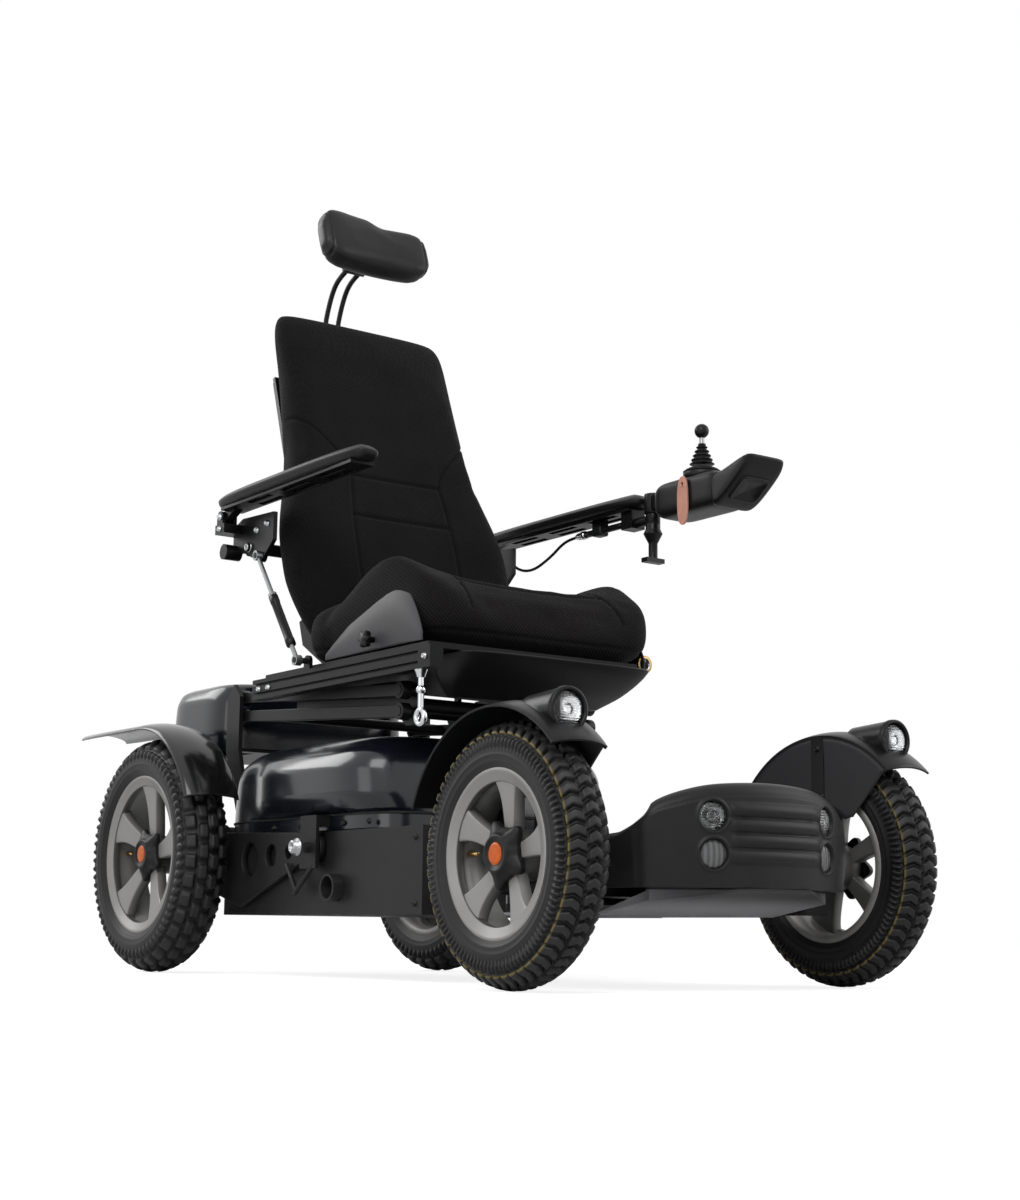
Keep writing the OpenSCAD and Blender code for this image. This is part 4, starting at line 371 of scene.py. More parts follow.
bmesh.ops.delete(work, geom=slot_faces, context="FACES")
work.to_mesh(body_shroud.data)
work.free()
band = np.linspace(0, 1, 9)[:, None] * 2 * np.pi
trim_x, trim_y = rounded_ring(angle, shroud_half_x, shroud_half_y, shroud_power)
trim = points_of(trim_x + np.sign(trim_x) * 0.0016 * np.cos(band), trim_y + shroud_middle,
                 shroud_foot + 0.0265 + 0.0022 * np.sin(band))
surface("shroud_trim", [trim], coating("dull_rubber_trim", (0.012, 0.012, 0.013), 0.6), "base")
shroud_screws = [bolt((s * 0.2302, y + middle, shroud_foot + 0.012), (s, 0, 0), 0.0045) for s in (-1, 1)
                 for y in (-0.05, 0.03, 0.17, 0.26)]
surface("shroud_screws", shroud_screws, bolt_black, "base")

# Rear shroud
# The cover over the electronics behind the seat, formed and lacquered like the body shroud.
hump_low, hump_high = 0.4033, 0.534
hump_front, hump_rear, hump_half = 0.502 + middle, 0.772 + middle, 0.206
up = np.concatenate([np.linspace(0, 0.8, 20), 0.8 + 0.2 * np.sin(np.linspace(0.05, 1, 26) * np.pi / 2)])[:, None]
draw = soft_curve(up, [0, 0.35, 0.72, 0.9, 0.97, 1], [0.02, 0, 0.01, 0.05, 0.11, 0.22])
hump_x, hump_y = rounded_ring(angle, hump_half * (1 - draw), (hump_rear - hump_front) / 2 * (1 - draw), 0.42)
hump_middle = (hump_front + hump_rear) / 2
hump = points_of(hump_x, hump_y + hump_middle, hump_low + up * (hump_high - hump_low))
crown = np.array([0.0, hump_middle, hump_high])
hump = np.concatenate([hump] + drawn_in(hump[-1:], crown, 0.8, 0.5, 0.2, 0.0))
surface("rear_shroud_skin", [hump], shroud_lacquer, "base", ["rear_shroud"], wall=0.003)

# Footplate
# A folded aluminium box, coated dark grey, with a ribbed rubber mat on its floor and a bare grey skid underneath;
# toward the front the skid's grey fades into the dark coat, painted shade.
footplate_coat = coating("footplate_coat", (0.009, 0.0093, 0.010), 0.5, grain=0.0014, relief=0.00006, dust=0.2)
tree = footplate_coat.node_tree
skin = tree.nodes["Principled BSDF"]
spot = add(tree, "ShaderNodeTexCoord")
axes = add(tree, "ShaderNodeSeparateXYZ", i0=spot.outputs["Object"])
bare = add(tree, "ShaderNodeMapRange", {"interpolation_type": "SMOOTHSTEP"}, Value=axes.outputs["Z"],
           From_Min=0.1362, From_Max=0.1348, To_Min=0.0, To_Max=1.0)
# The skid's grey fades back to the dark coat toward the front: painted shade where the underside falls in shadow.
skid_shade_fade = add(tree, "ShaderNodeMapRange", {"interpolation_type": "SMOOTHSTEP"}, Value=axes.outputs["Y"],
             From_Min=-0.745, From_Max=-0.62, To_Min=0.1, To_Max=1.0)
bare = calc(tree, "MULTIPLY", bare.outputs[0], skid_shade_fade.outputs[0])
skid_tone = blend(tree, bare.outputs[0], skin.inputs["Base Color"].links[0].from_socket, (0.34, 0.34, 0.355, 1))
tree.links.new(skid_tone.outputs[2], skin.inputs["Base Color"])
dress(footplate_coat, "footplate", edge=0.0015)
mat_half, mat_floor, mat_ribs = 0.150, 0.1541, 22
mat_x = np.linspace(-mat_half, mat_half, 181)[None, :]
mat_y = np.linspace(-0.640 + middle, -0.232 + middle, 60)[:, None]
rib_wave = np.sin(mat_x / (2 * mat_half) * 2 * np.pi * mat_ribs)
mat_z = 0.1545 + 0.0022 * (0.5 + 0.5 * np.sign(rib_wave) * np.abs(rib_wave) ** 0.5)
mat = points_of(mat_x, mat_y, mat_z)
rim_low = mat.copy()
rim_low[..., 2] = mat_floor
mat = np.concatenate([rim_low[:1], mat, rim_low[-1:]])
mat = np.concatenate([mat[:, :1] * [1, 1, 0] + [0, 0, mat_floor], mat, mat[:, -1:] * [1, 1, 0] + [0, 0, mat_floor]],
                     axis=1)
mat_rubber = coating("mat_rubber", (0.014, 0.014, 0.015), 0.7, grain=0.0006, relief=0.00008, dust=0.5)
surface("foot_mat", [mat], mat_rubber, "base", closed=False)

# Front bumper
# One thick moulding round the front of the footplate. Its top edge rolls over and falls away along the sides, four
# flat ribs cross the middle, and two lamps sit in cups on each side. Satin black with a fine leather grain.
bumper_floor, bumper_tall, bumper_reach = 0.138, 0.149, 0.315
bumper_front = -0.741 + middle
bumper_centre = bumper_front + bumper_reach
bumper_end = -0.600 + middle
bumper_half, bumper_corner = 0.195, 0.034
corner_x = bumper_half - bumper_corner
corner_y = bumper_centre - math.sqrt((bumper_reach - bumper_corner) ** 2 - corner_x ** 2)
corner_turn = math.atan2(corner_y - bumper_centre, corner_x)


def bumper_plan(s):
    """Plan line of the left half for s from 0 at the middle to 1 at the rear end, with its outward direction: an arc
    of the wide front, an arc of the corner, then the straight side."""
    front_arc = bumper_reach * (corner_turn + math.pi / 2)
    corner_arc = bumper_corner * -corner_turn
    straight = bumper_end - corner_y
    run = s * (front_arc + corner_arc + straight)
    a = np.where(run < front_arc, -math.pi / 2 + run / bumper_reach,
                 np.clip(corner_turn + (run - front_arc) / bumper_corner, None, 0.0))
    on_front = run < front_arc
    x = np.where(on_front, bumper_reach * np.cos(a), corner_x + bumper_corner * np.cos(a))
    y = np.where(on_front, bumper_centre + bumper_reach * np.sin(a), corner_y + bumper_corner * np.sin(a)
                 + np.maximum(0.0, run - front_arc - corner_arc))
    return x, y, np.cos(a), np.sin(a)


def bell(x, width):
    """A bell round zero: falls off with the square of x over the width."""
    return np.exp(-(x / width) ** 2)


def soft_step(x, width):
    """A step from 0 to 1 at zero, rounded over the width."""
    return 1 / (1 + np.exp(-x / width))


along = np.linspace(-1, 1, 521)[None, :]
plan_x, plan_y, out_x, out_y = bumper_plan(np.abs(along))
plan_x, out_x = plan_x * np.sign(along), out_x * np.sign(along)
out_x = np.where(along == 0, 0.0, out_x)
fall = soft_curve((plan_y - bumper_end) / (bumper_front - bumper_end),
                  [0, 0.14, 0.29, 0.4, 0.52, 0.63, 0.745, 0.894, 1],
                  [0.49, 0.5, 0.54, 0.58, 0.645, 0.78, 0.86, 0.935, 0.965])
top = bumper_floor + bumper_tall * fall
roll_r = np.clip((top - bumper_floor - 0.06) * 0.3, 0.008, 0.020)
face_rows = np.linspace(0, 1, 96)[:, None]
face_z = bumper_floor + face_rows * (top - roll_r - bumper_floor)
belly = -0.004 * (1 - np.sin(np.pi * np.clip((face_z - bumper_floor) / 0.13, 0, 1)))
turn_rows = np.linspace(0, 1, 22)[1:, None] * np.pi * 0.62
roll_in = -roll_r * (1 - np.cos(turn_rows)) - 0.004
roll_z = top - roll_r + roll_r * np.sin(turn_rows)
inner_rows = np.linspace(0, 1, 20)[1:, None]
inner_z = roll_z[-1:] + inner_rows * (bumper_floor - roll_z[-1:])
inner_in = roll_in[-1:] - 0.006 * np.sin(np.pi * np.clip(inner_rows * 2, 0, 0.5)) + 0 * inner_z
depth = np.concatenate([belly + 0 * face_z, roll_in + 0 * roll_z, inner_in])
height = np.concatenate([face_z, roll_z, inner_z])
front_turn = np.degrees(np.arcsin(np.clip(plan_x / bumper_reach, -1, 1)))
window = soft_step(14.6 - np.abs(front_turn), 0.55)
rib_pitch = bumper_tall * 0.14
rib_count = np.clip((height - bumper_floor - bumper_tall * 0.21) / rib_pitch, 0, 4)
ribs = 0.0062 * np.abs(np.sin(np.pi * rib_count)) ** 0.7
roll_start = 4
outer_face = (np.arange(len(height)) < len(face_rows) + roll_start)[:, None]
depth = depth + ribs * window * outer_face
lamp_side, lamp_heights, lamp_r = 0.105, (bumper_floor + bumper_tall * 0.64, bumper_floor + bumper_tall * 0.3), 0.019
for s in (-1, 1):
    for z in lamp_heights:
        off = np.hypot((plan_x - s * lamp_side) / np.cos(np.arcsin(lamp_side / bumper_reach)), height - z)
        depth = depth + outer_face * (0.0026 * bell(off - lamp_r - 0.003, 0.0024)
                                      - 0.009 * soft_step(lamp_r - off, 0.0006))
bumper_grid = points_of(plan_x + out_x * depth, plan_y + out_y * depth, height)
bumper_grid = np.concatenate([bumper_grid, bumper_grid[:1]])
bumper_skin = coating("grained_bumper", (0.0085, 0.0088, 0.0095), 0.4, grain=0.0011, relief=0.00012, patch=0.2,
                      dust=0.22)
surface("bumper_moulding", [bumper_grid], bumper_skin, "base", ["front_bumper"], closed=False)

# Bumper lamps
# A ribbed lens over a grey metal bowl in each cup: a clear lamp above and a frosted reflector below. The lenses' ribs
# are in the relief of their finish, and their colour darkens and lightens across each rib as painted streaks of
# reflection.


def clear_lens(name, colour, ribs, rough=0.04, low=0.92):
    """A clear moulded lens: rings and ribs of its prisms in the relief, see-through, with a plain index; its colour
    falls to the share low once across each rib, painted streaks of reflection.
    """
    lens = bpy.data.materials.new(name)
    lens.use_nodes = True
    tree = lens.node_tree
    skin = tree.nodes["Principled BSDF"]
    put(tree, skin, Transmission_Weight=1.0, IOR=1.49)
    texture = add(tree, "ShaderNodeGroup", {"node_tree": grain_group}, Grain=0.004, Patch=0.03)
    spot = add(tree, "ShaderNodeTexCoord")
    prism = add(tree, "ShaderNodeTexWave", {"wave_type": "BANDS", "bands_direction": "Z"},
                Vector=spot.outputs["Object"], Scale=ribs)
    # Lighter and darker bands of colour along the ribs: painted reflections.
    tone = blend(tree, prism.outputs["Fac"], [c * low for c in colour] + [1], list(colour) + [1])
    bump = add(tree, "ShaderNodeBump", Strength=0.5, Distance=0.0006, Height=prism.outputs["Fac"])
    dull = calc(tree, "MULTIPLY_ADD", texture.outputs["Patches"], 0.05, rough)
    put(tree, skin, Base_Color=tone.outputs[2], Roughness=dull.outputs[0], Normal=bump.outputs[0])
    return lens


def dome_rows(radius, foot, tall, steps):
    """Rows of a flat dome from its top to its rim: a quarter of an ellipse that stands on the foot."""
    return [(radius * math.sin(a), foot + tall * math.cos(a)) for a in np.linspace(0, math.pi / 2, steps)]


lens_plastic = clear_lens("clear_lens", (0.98, 0.985, 0.99), 90.0)
# The silver bowl's tone mottles in 6 mm patches: painted reflections of facets.
bowl_silver = coating("bowl_silver", (0.93, 0.94, 0.95), 0.08, grain=0.004, relief=0.0004, patch=0.006, shade=0.25,
                      dust=0.0, metal=1.0)
lenses, bowls = [], []
for s in (-1, 1):
    a = math.asin(lamp_side / bumper_reach)
    facing = np.array([s * math.sin(a), -math.cos(a), 0.0])
    for z in lamp_heights:
        seat = np.array([0.0, bumper_centre, z]) + facing * (bumper_reach - 0.0085)
        dome = dome_rows(lamp_r, 0.0035, 0.0045, 12)
        lenses.append(turned(dome + [(lamp_r, 0.0), (0.0, 0.0)], 48, seat, facing))
        bowl = [(0.0, -0.0022), (0.004, -0.0022), (0.004, 0.0005), (0.006, 0.0005), (0.006, -0.0024),
                (lamp_r * 0.7, -0.001), (lamp_r, 0.0)]
        bowls.append(turned(bowl, 48, seat - facing * 0.0002, facing))
surface("bumper_lamp_lenses", lenses[::2], lens_plastic, "base", ["bumper_lamps"])
# The frosted reflector's strong dark bands between its ribs are painted streaks of reflection.
frosted = clear_lens("ribbed_reflector", (0.17, 0.173, 0.177), 42.0, 0.22, 0.45)
frosted.node_tree.nodes["Principled BSDF"].inputs["Transmission Weight"].default_value = 0.2
frosted.node_tree.nodes["Wave Texture"].bands_direction = "X"
surface("bumper_reflectors", lenses[1::2], frosted, "base")
# The dark bowl mottles strongly in 6 mm patches: painted reflections of facets.
bowl_dark = coating("dark_bowl", (0.2, 0.204, 0.208), 0.2, grain=0.003, relief=0.0005, patch=0.006, shade=0.8,
                    dust=0.0, metal=1.0)
surface("bumper_lamp_bowls", bowls, bowl_dark, "base")

# Steering
# The steering motor over the right king pin, two cast knuckles and the tie rod between their arms.
cast_motor = coating("cast_motor_case", (0.032, 0.033, 0.036), 0.5, grain=0.0018, relief=0.0002, dust=0.3, metal=0.6)
cast_knuckle = coating("cast_knuckle", (0.02, 0.02, 0.022), 0.55, grain=0.0025, relief=0.00025, dust=0.4, metal=0.3)
drawn_steel = coating("drawn_steel", (0.3, 0.305, 0.31), 0.34, grain=0.0005, relief=0.00004, dust=0.3, metal=1.0)
dress(cast_motor, "steering_motor", edge=0.0015)
dress(cast_knuckle, "knuckle_right", "knuckle_left", edge=0.0015)
dress(drawn_steel, "tie_rod")

# Front mudguards and headlamps
# A moulded arch over each front tyre, satin black, on a stay from the knuckle, with a round lamp pod on its crown. A
# clear lens lies over a bowl in the pod whose facets are only painted: small patches of lighter and darker tone that
# stand in for their reflections.
guard_moulding = coating("guard_moulding", (0.0075, 0.0078, 0.0084), 0.3, grain=0.001, relief=0.00006, dust=0.2)
dress(guard_moulding, "front_mudguard_right", "front_mudguard_left", edge=0.0008)
sides = (("right", -1), ("left", 1))
wheel_x, front_y, front_r = 0.308, -0.550 + middle, 0.180
pod_y, pod_z, pod_r = front_y - 0.118, front_r + 0.186, 0.025
for side, s in sides:
    body = "steer_" + side + "_body"
    seat = np.array([s * wheel_x, pod_y, pod_z])
    facing = np.array([0.0, -1.0, 0.0])
    dome = dome_rows(pod_r, -0.004, 0.007, 14)
    surface("headlamp_lens_" + side, [turned(dome + [(pod_r, -0.006), (0.0, -0.006)], 64, seat, facing)],
            lens_plastic, body, ["headlamp_" + side])
    bowl = [(0.0, -0.0074), (0.0045, -0.0074), (0.006, -0.0066), (0.006, -0.0076), (pod_r * 0.6, -0.0072),
            (pod_r, -0.0062)]
    surface("headlamp_bowl_" + side, [turned(bowl, 48, seat, facing)], bowl_silver, body)
    hood = [(pod_r + 0.0005, -0.004), (pod_r + 0.0005, 0.002), (pod_r + 0.003, 0.0035), (pod_r + 0.0055, 0.002),
            (pod_r + 0.006, -0.004)]
    surface("headlamp_ring_" + side, [turned(hood, 64, seat, facing)], guard_moulding, body)

# Front valances
# A moulded fan inside each front tyre that closes the arch and hangs behind the wheel as a flap. It is screwed to the
# arch and to the stay on the knuckle.


def ease(t):
    """Eases from 0 to 1: three times the square less twice the cube."""
    t = np.clip(t, 0, 1)
    return t * t * (3 - 2 * t)


def ease_turn(turn, start, end):
    """The same ease over an angle, between two angles in degrees."""
    return ease((np.degrees(turn) - start) / (end - start))


valance_x, valance_inner = 0.2642, 0.088
valance_moulding = coating("valance_moulding", (0.03, 0.0303, 0.0325), 0.44, grain=0.0012, relief=0.00008, dust=0.1)
for side, s in sides:
    body = "steer_" + side + "_body"
    sweep = np.radians(np.linspace(45.5, 188, 120))[None, :]
    out_r = 0.1952 + 0.006 * ease_turn(sweep, 158, 168) - 0.03 * ease_turn(sweep, 180, 188) ** 2
    in_r = valance_inner + 0.012 * (1 - ease_turn(sweep, 45, 52)) + 0.012 * ease_turn(sweep, 180, 188)
    way = np.linspace(0, 1, 14)[:, None]
    fan_r = in_r + way * (out_r - in_r)
    fan = points_of(s * (valance_x + 0.0012 * np.sin(np.pi * way)), front_y - fan_r * np.cos(sweep),
                    front_r + fan_r * np.sin(sweep))
    surface("front_valance_" + side, [fan], valance_moulding, body, wall=0.0025, offset=0.0,
            closed=False)
    pins = [bolt((s * 0.2628, front_y + d, front_r + z), (-s, 0, 0), 0.005)
            for d, z in ((-0.008, 0.105), (0.008, 0.105), (0.0, 0.178))]
    surface("valance_bolts_" + side, pins, bolt_black, body)

# Tyres
# Black rubber on all four wheels. The front tread is rows of small bent blocks with comb like shoulders and a thin
# yellow line from the mould; the rear tread is large square blocks. The sidewalls carry raised rings.


def tyre(end, side, x, y, r, width, flange, rim_width, finish, blocks, columns, bend, gap, beside, combs):
    """A tyre as a grid: the section is the oval from bead to bead, turned about the axle, and each point is raised
    along the section's normal by the tread. A block covers its share of the pitch and of its column, with soft edges,
    and its pitch is shifted by half from column to column and bent across it; radial combs run from the tread down
    the shoulder."""
    lug, half, beds, tread = 0.007, width / 2, blocks * 16, 0.84
    carcass = r - lug
    edge = math.pi - math.asin(rim_width / width)
    centre = (flange + 0.0003 - carcass * math.cos(edge)) / (1 - math.cos(edge))
    deep = carcass - centre
    a = np.concatenate([np.linspace(-edge, -1.6, 12), np.linspace(-1.6, 1.6, 86)[1:-1],
                        np.linspace(1.6, edge, 12)])[:, None]
    t = around(beds)
    s = np.sin(a)
    normal_r, normal_x = np.cos(a) * half, np.sin(a) * deep
    long = np.hypot(normal_r, normal_x)
    place = (s / tread + 1) / 2 * columns
    column = np.floor(place)
    inside = place - column
    pitch = t * blocks / (2 * np.pi) + 0.5 * (column % 2) + bend * np.abs(inside - 0.5)
    cell = pitch - np.floor(pitch)
    block = soft_step(cell - gap / 2, 0.022) * soft_step(1 - gap / 2 - cell, 0.022)
    block = block * soft_step(inside - beside, 0.018) * soft_step(1 - beside - inside, 0.018)
    block = block * (np.abs(s) < tread)
    comb_cell = t * combs / (2 * np.pi) % 1.0
    comb = soft_step(comb_cell - 0.24, 0.05) * soft_step(0.76 - comb_cell, 0.05)
    comb = comb * soft_step(np.abs(a) - 1.02, 0.012) * soft_step(1.3 - np.abs(a), 0.04)
    raised = lug * (1 - 0.35 * s ** 2) * block + 0.0054 * comb
    rings = 0.0008 * (bell(np.abs(a) - 1.62, 0.035) + bell(np.abs(a) - 1.86, 0.05)) + 0 * t
    rad = centre + deep * np.cos(a) + (raised + rings) * normal_r / long
    off = half * s + (raised + rings) * normal_x / long
    grid = points_of(x + off, y - rad * np.sin(t), r - rad * np.cos(t))
    bead_r, bead_x = flange - 0.0077, rim_width / 2 - 0.0033
    bead = [points_of(x + k * bead_x, y - bead_r * np.sin(t), r - bead_r * np.cos(t)) for k in (-1, 1)]
    grid = np.concatenate([bead[0], grid, bead[1]])
    line = bell(s + 0.765, 0.011) * (0.5 + 0.5 * (block > 0.4))
    # Block and comb tops are marked greyer and the grooves stay black: partly wear, partly painted shade in the
    # grooves.
    wear_and_shade = np.maximum(block, np.maximum(comb, 0.45 * (np.abs(a) > 1.5)))
    line, wear_and_shade = [np.concatenate([m[:1] * 0, m, m[:1] * 0]) for m in (line, wear_and_shade)]
    surface(end + "_tread_" + side, [grid], finish, end + "_wheel_" + side, [end + "_tyre_" + side],
            marks={"mould_line": [line], "wear_and_groove_shade": [wear_and_shade]})


def tint(finish, mark, colour):
    """Mixes a colour into a finish by the value of a mark on the mesh."""
    tree = finish.node_tree
    base = tree.nodes["Principled BSDF"].inputs["Base Color"]
    where = add(tree, "ShaderNodeAttribute", {"attribute_name": mark})
    mixed = blend(tree, where.outputs["Fac"], base.links[0].from_socket, colour)
    tree.links.new(mixed.outputs[2], base)


def rubber(name, line_colour):
    """Tyre rubber: black in the grooves and on the sidewall, rubbed greyer on the tops of the blocks, with the mould
    line painted where its mark is set. The black of the grooves is painted shade, so the grey of the tops is partly
    wear and partly painted light against it."""
    finish = coating(name, (0.0022, 0.0022, 0.0024), 0.46, grain=0.0009, relief=0.0001, patch=0.06, shade=0.2,
                     dust=0.03, reach=0.6, shine=0.26)
    tint(finish, "wear_and_groove_shade", (0.0165, 0.0165, 0.0175, 1))
    tint(finish, "mould_line", line_colour)
    return finish


lined_rubber = rubber("front_tyre_rubber", (0.3, 0.225, 0.045, 1))
tyre_rubber = rubber("rear_tyre_rubber", (0.012, 0.012, 0.0125, 1))
rear_y, rear_r = 0.550 + middle, 0.209
front_flange, front_bed, rear_flange, rear_bed = 0.1155, 0.067, 0.141, 0.076
for side, s in sides:
    tyre("front", side, s * wheel_x, front_y, front_r, 0.076, front_flange, front_bed, lined_rubber, blocks=56,
         columns=3, bend=0.7, gap=0.34, beside=0.06, combs=112)
    tyre("rear", side, s * wheel_x, rear_y, rear_r, 0.092, rear_flange, rear_bed, tyre_rubber, blocks=36, columns=4,
         bend=0.0, gap=0.34, beside=0.13, combs=72)

# Rims and hub caps
# Cast aluminium rims with five spokes that widen and lean toward the flange, painted silver grey; the inside of the
# barrel, the hub and the backs of the spokes are darker, painted shade. A black hub cap with a lobe between each two
# spokes covers the bolts and holds a round amber reflector; a brass valve stands by one spoke.
rim_silver = coating("rim_silver", (0.265, 0.26, 0.254), 0.42, grain=0.0007, relief=0.00005, patch=0.09, shade=0.1,
                     dust=0.1, reach=0.35, metal=0.3)
# Darker where the mark is set: painted shade in the barrel, on the hub core and on the back of each spoke.
tint(rim_silver, "recess_shade", (0.085, 0.083, 0.081, 1))
cap_black = coating("cap_black", (0.005, 0.005, 0.0055), 0.42, grain=0.0008, relief=0.00006, dust=0.12)
reflector_amber = coating("reflector_amber", (0.5, 0.095, 0.011), 0.3, grain=0.003, relief=0.0004, patch=0.008,
                          shade=0.35, dust=0.0)
valve_brass = coating("valve_brass", (0.55, 0.36, 0.14), 0.35, grain=0.0005, relief=0.00003, dust=0.1, metal=1.0)
spokes, spoke_turn = 5, -0.175


def capped(grid):
    """A grid closed at both ends by rows that lie at the middle of its first and its last ring."""
    first, last = [end.mean(1, keepdims=True) + 0 * end for end in (grid[:1], grid[-1:])]
    return np.concatenate([first, grid, last])


def rim(side, s, end, y, r, flange, width):
    """A rim: barrel and flanges are one turned profile; each spoke is a tube whose rounded section widens from hub to
    flange as a power of the way along it, leans with its square and follows the dish."""
    out = np.array([s, 0.0, 0.0])
    hub = np.array([s * wheel_x, y, r])
    half, seat, inner = width / 2, flange - 0.008, flange - 0.012
    lip, face, bore = flange - 0.019, width * 0.2, 0.0101
    barrel = [(inner, -half), (flange - 0.001, -half), (flange, -half + 0.001), (flange, -half + 0.003),
              (seat, -half + 0.005), (seat, half - 0.005), (flange, half - 0.003), (flange, half - 0.001),
              (flange - 0.001, half), (flange - 0.0055, half), (flange - 0.0068, half - 0.0022),
              (lip + 0.0012, half - 0.0045), (lip, half - 0.0062), (lip + 0.001, half - 0.018), (inner, half - 0.024),
              (inner, 0.0), (inner, -half)]
    core = [(bore, -width * 0.48), (0.034, -width * 0.48), (0.034, width * 0.1), (0.032, width * 0.19), (0.028, face),
            (bore, face), (bore, -width * 0.48)]
    barrel_steps, core_steps = 144, 64
    sheets = [turned(barrel, barrel_steps, hub, out), turned(core, core_steps, hub, out)]
    # The barrel's inner rows, the hub core and the backs of the spokes are marked for the painted shade.
    barrel_recess_shade = np.array([row[0] < lip + 0.0011 for row in barrel], float)[:, None] * np.ones((1, barrel_steps))
    recess_shade = [barrel_recess_shade, np.ones((len(core), core_steps))]
    way = np.linspace(0, 1, 30)[:, None]
    loop = around(64)
    radius = 0.026 + way * (inner + 0.001 - 0.026)
    broad = (0.0098 + 0.0078 * way + 0.014 * way ** 5) * inner / 0.1035
    thick = 0.010 + 0 * way
    dish = face + (half - 0.0052 - face) * way ** 1.2 - thick
    c, w = rounded_ring(loop, broad, thick, 0.2)
    lean = 0.06 * way ** 2
    for k in range(spokes):
        a = 2 * np.pi / spokes * k + lean + spoke_turn
        e1 = points_of(0, -np.sin(a) * s, np.cos(a))
        e2 = points_of(0, -np.cos(a) * s, -np.sin(a))
        spoke = hub + radius[..., None] * e1 + c[..., None] * e2 + (dish + w)[..., None] * out
        sheets.append(capped(spoke))
        recess_shade.append(np.concatenate([1 + 0 * loop, ease(0.5 - 0.9 * w / thick), 1 + 0 * loop]))
    body = end + "_wheel_" + side
    surface(end + "_rim_cast_" + side, sheets, rim_silver, body, [end + "_rim_" + side],
            marks={"recess_shade": recess_shade})
    turn = around(160)
    lobe = 1 + 0.38 * (0.5 + 0.5 * np.cos(spokes * (turn - spoke_turn) + np.pi)) ** 2
    cap_rows = np.array([(1.0, 0.0), (1.0, 0.3), (0.97, 0.42), (0.82, 0.55), (0.74, 0.9), (0.7, 1.0), (0.6, 1.0),
                         (0.58, 0.93), (0, 0.93)])
    size = cap_rows[:, :1] * 0.0355 * np.where(cap_rows[:, :1] > 0.8, lobe, 1.0)
    lift = face + 0.0002 + cap_rows[:, 1:] * 0.020
    cap = hub + size[..., None] * points_of(0, -np.sin(turn) * s, np.cos(turn)) + (lift + 0 * turn)[..., None] * out
    surface(end + "_hub_cover_" + side, [cap], cap_black, body, [end + "_hubcap_" + side])
    disc = [(0.0, 0.0200), (0.011, 0.0198), (0.0148, 0.0192), (0.0154, 0.0184)]
    surface(end + "_reflector_" + side, [turned([(p, face + q) for p, q in disc], 48, hub, out)], reflector_amber,
            body)
    stem = [(0.0, 0.016), (0.0026, 0.016), (0.003, 0.008), (0.0042, 0.006), (0.0046, -0.010), (0.0, -0.010)]
    valve_turn = spoke_turn + 2 * math.pi / spokes * 1.36
    to_hub = -np.array([0.0, -math.sin(valve_turn) * s, math.cos(valve_turn)])
    foot = hub - to_hub * (inner - 0.004) + out * width * 0.02
    surface(end + "_valve_" + side, [turned(stem, 20, foot, to_hub)], valve_brass, body)


for side, s in sides:
    rim(side, s, "front", front_y, front_r, front_flange, front_bed)
    rim(side, s, "rear", rear_y, rear_r, rear_flange, rear_bed)

# Rear arms and drive motors
# Plate steel trailing arms with lightening holes, coated like the chassis, and ribbed gear motors on their inner
# sides.
arm_coat = coating("arm_coat", (0.0072, 0.0075, 0.008), 0.36, grain=0.0015, relief=0.00007, dust=0.22)
dress(arm_coat, "rear_arm_right", "rear_arm_left", edge=0.0012)
dress(cast_motor, "drive_motor_right", "drive_motor_left")

# Rear mudguards
# Glossy moulded arches over the rear tyres that run on into a thin straight tail; the tail thins out and turns
# lighter grey toward its end, painted light for the light it lets through, and a rolled lip stiffens both sides.
guard_gloss = coating("guard_gloss", (0.0065, 0.0068, 0.0075), 0.18, grain=0.003, relief=0.00003, dust=0.06, coat=0.2,
                      shine=0.4)
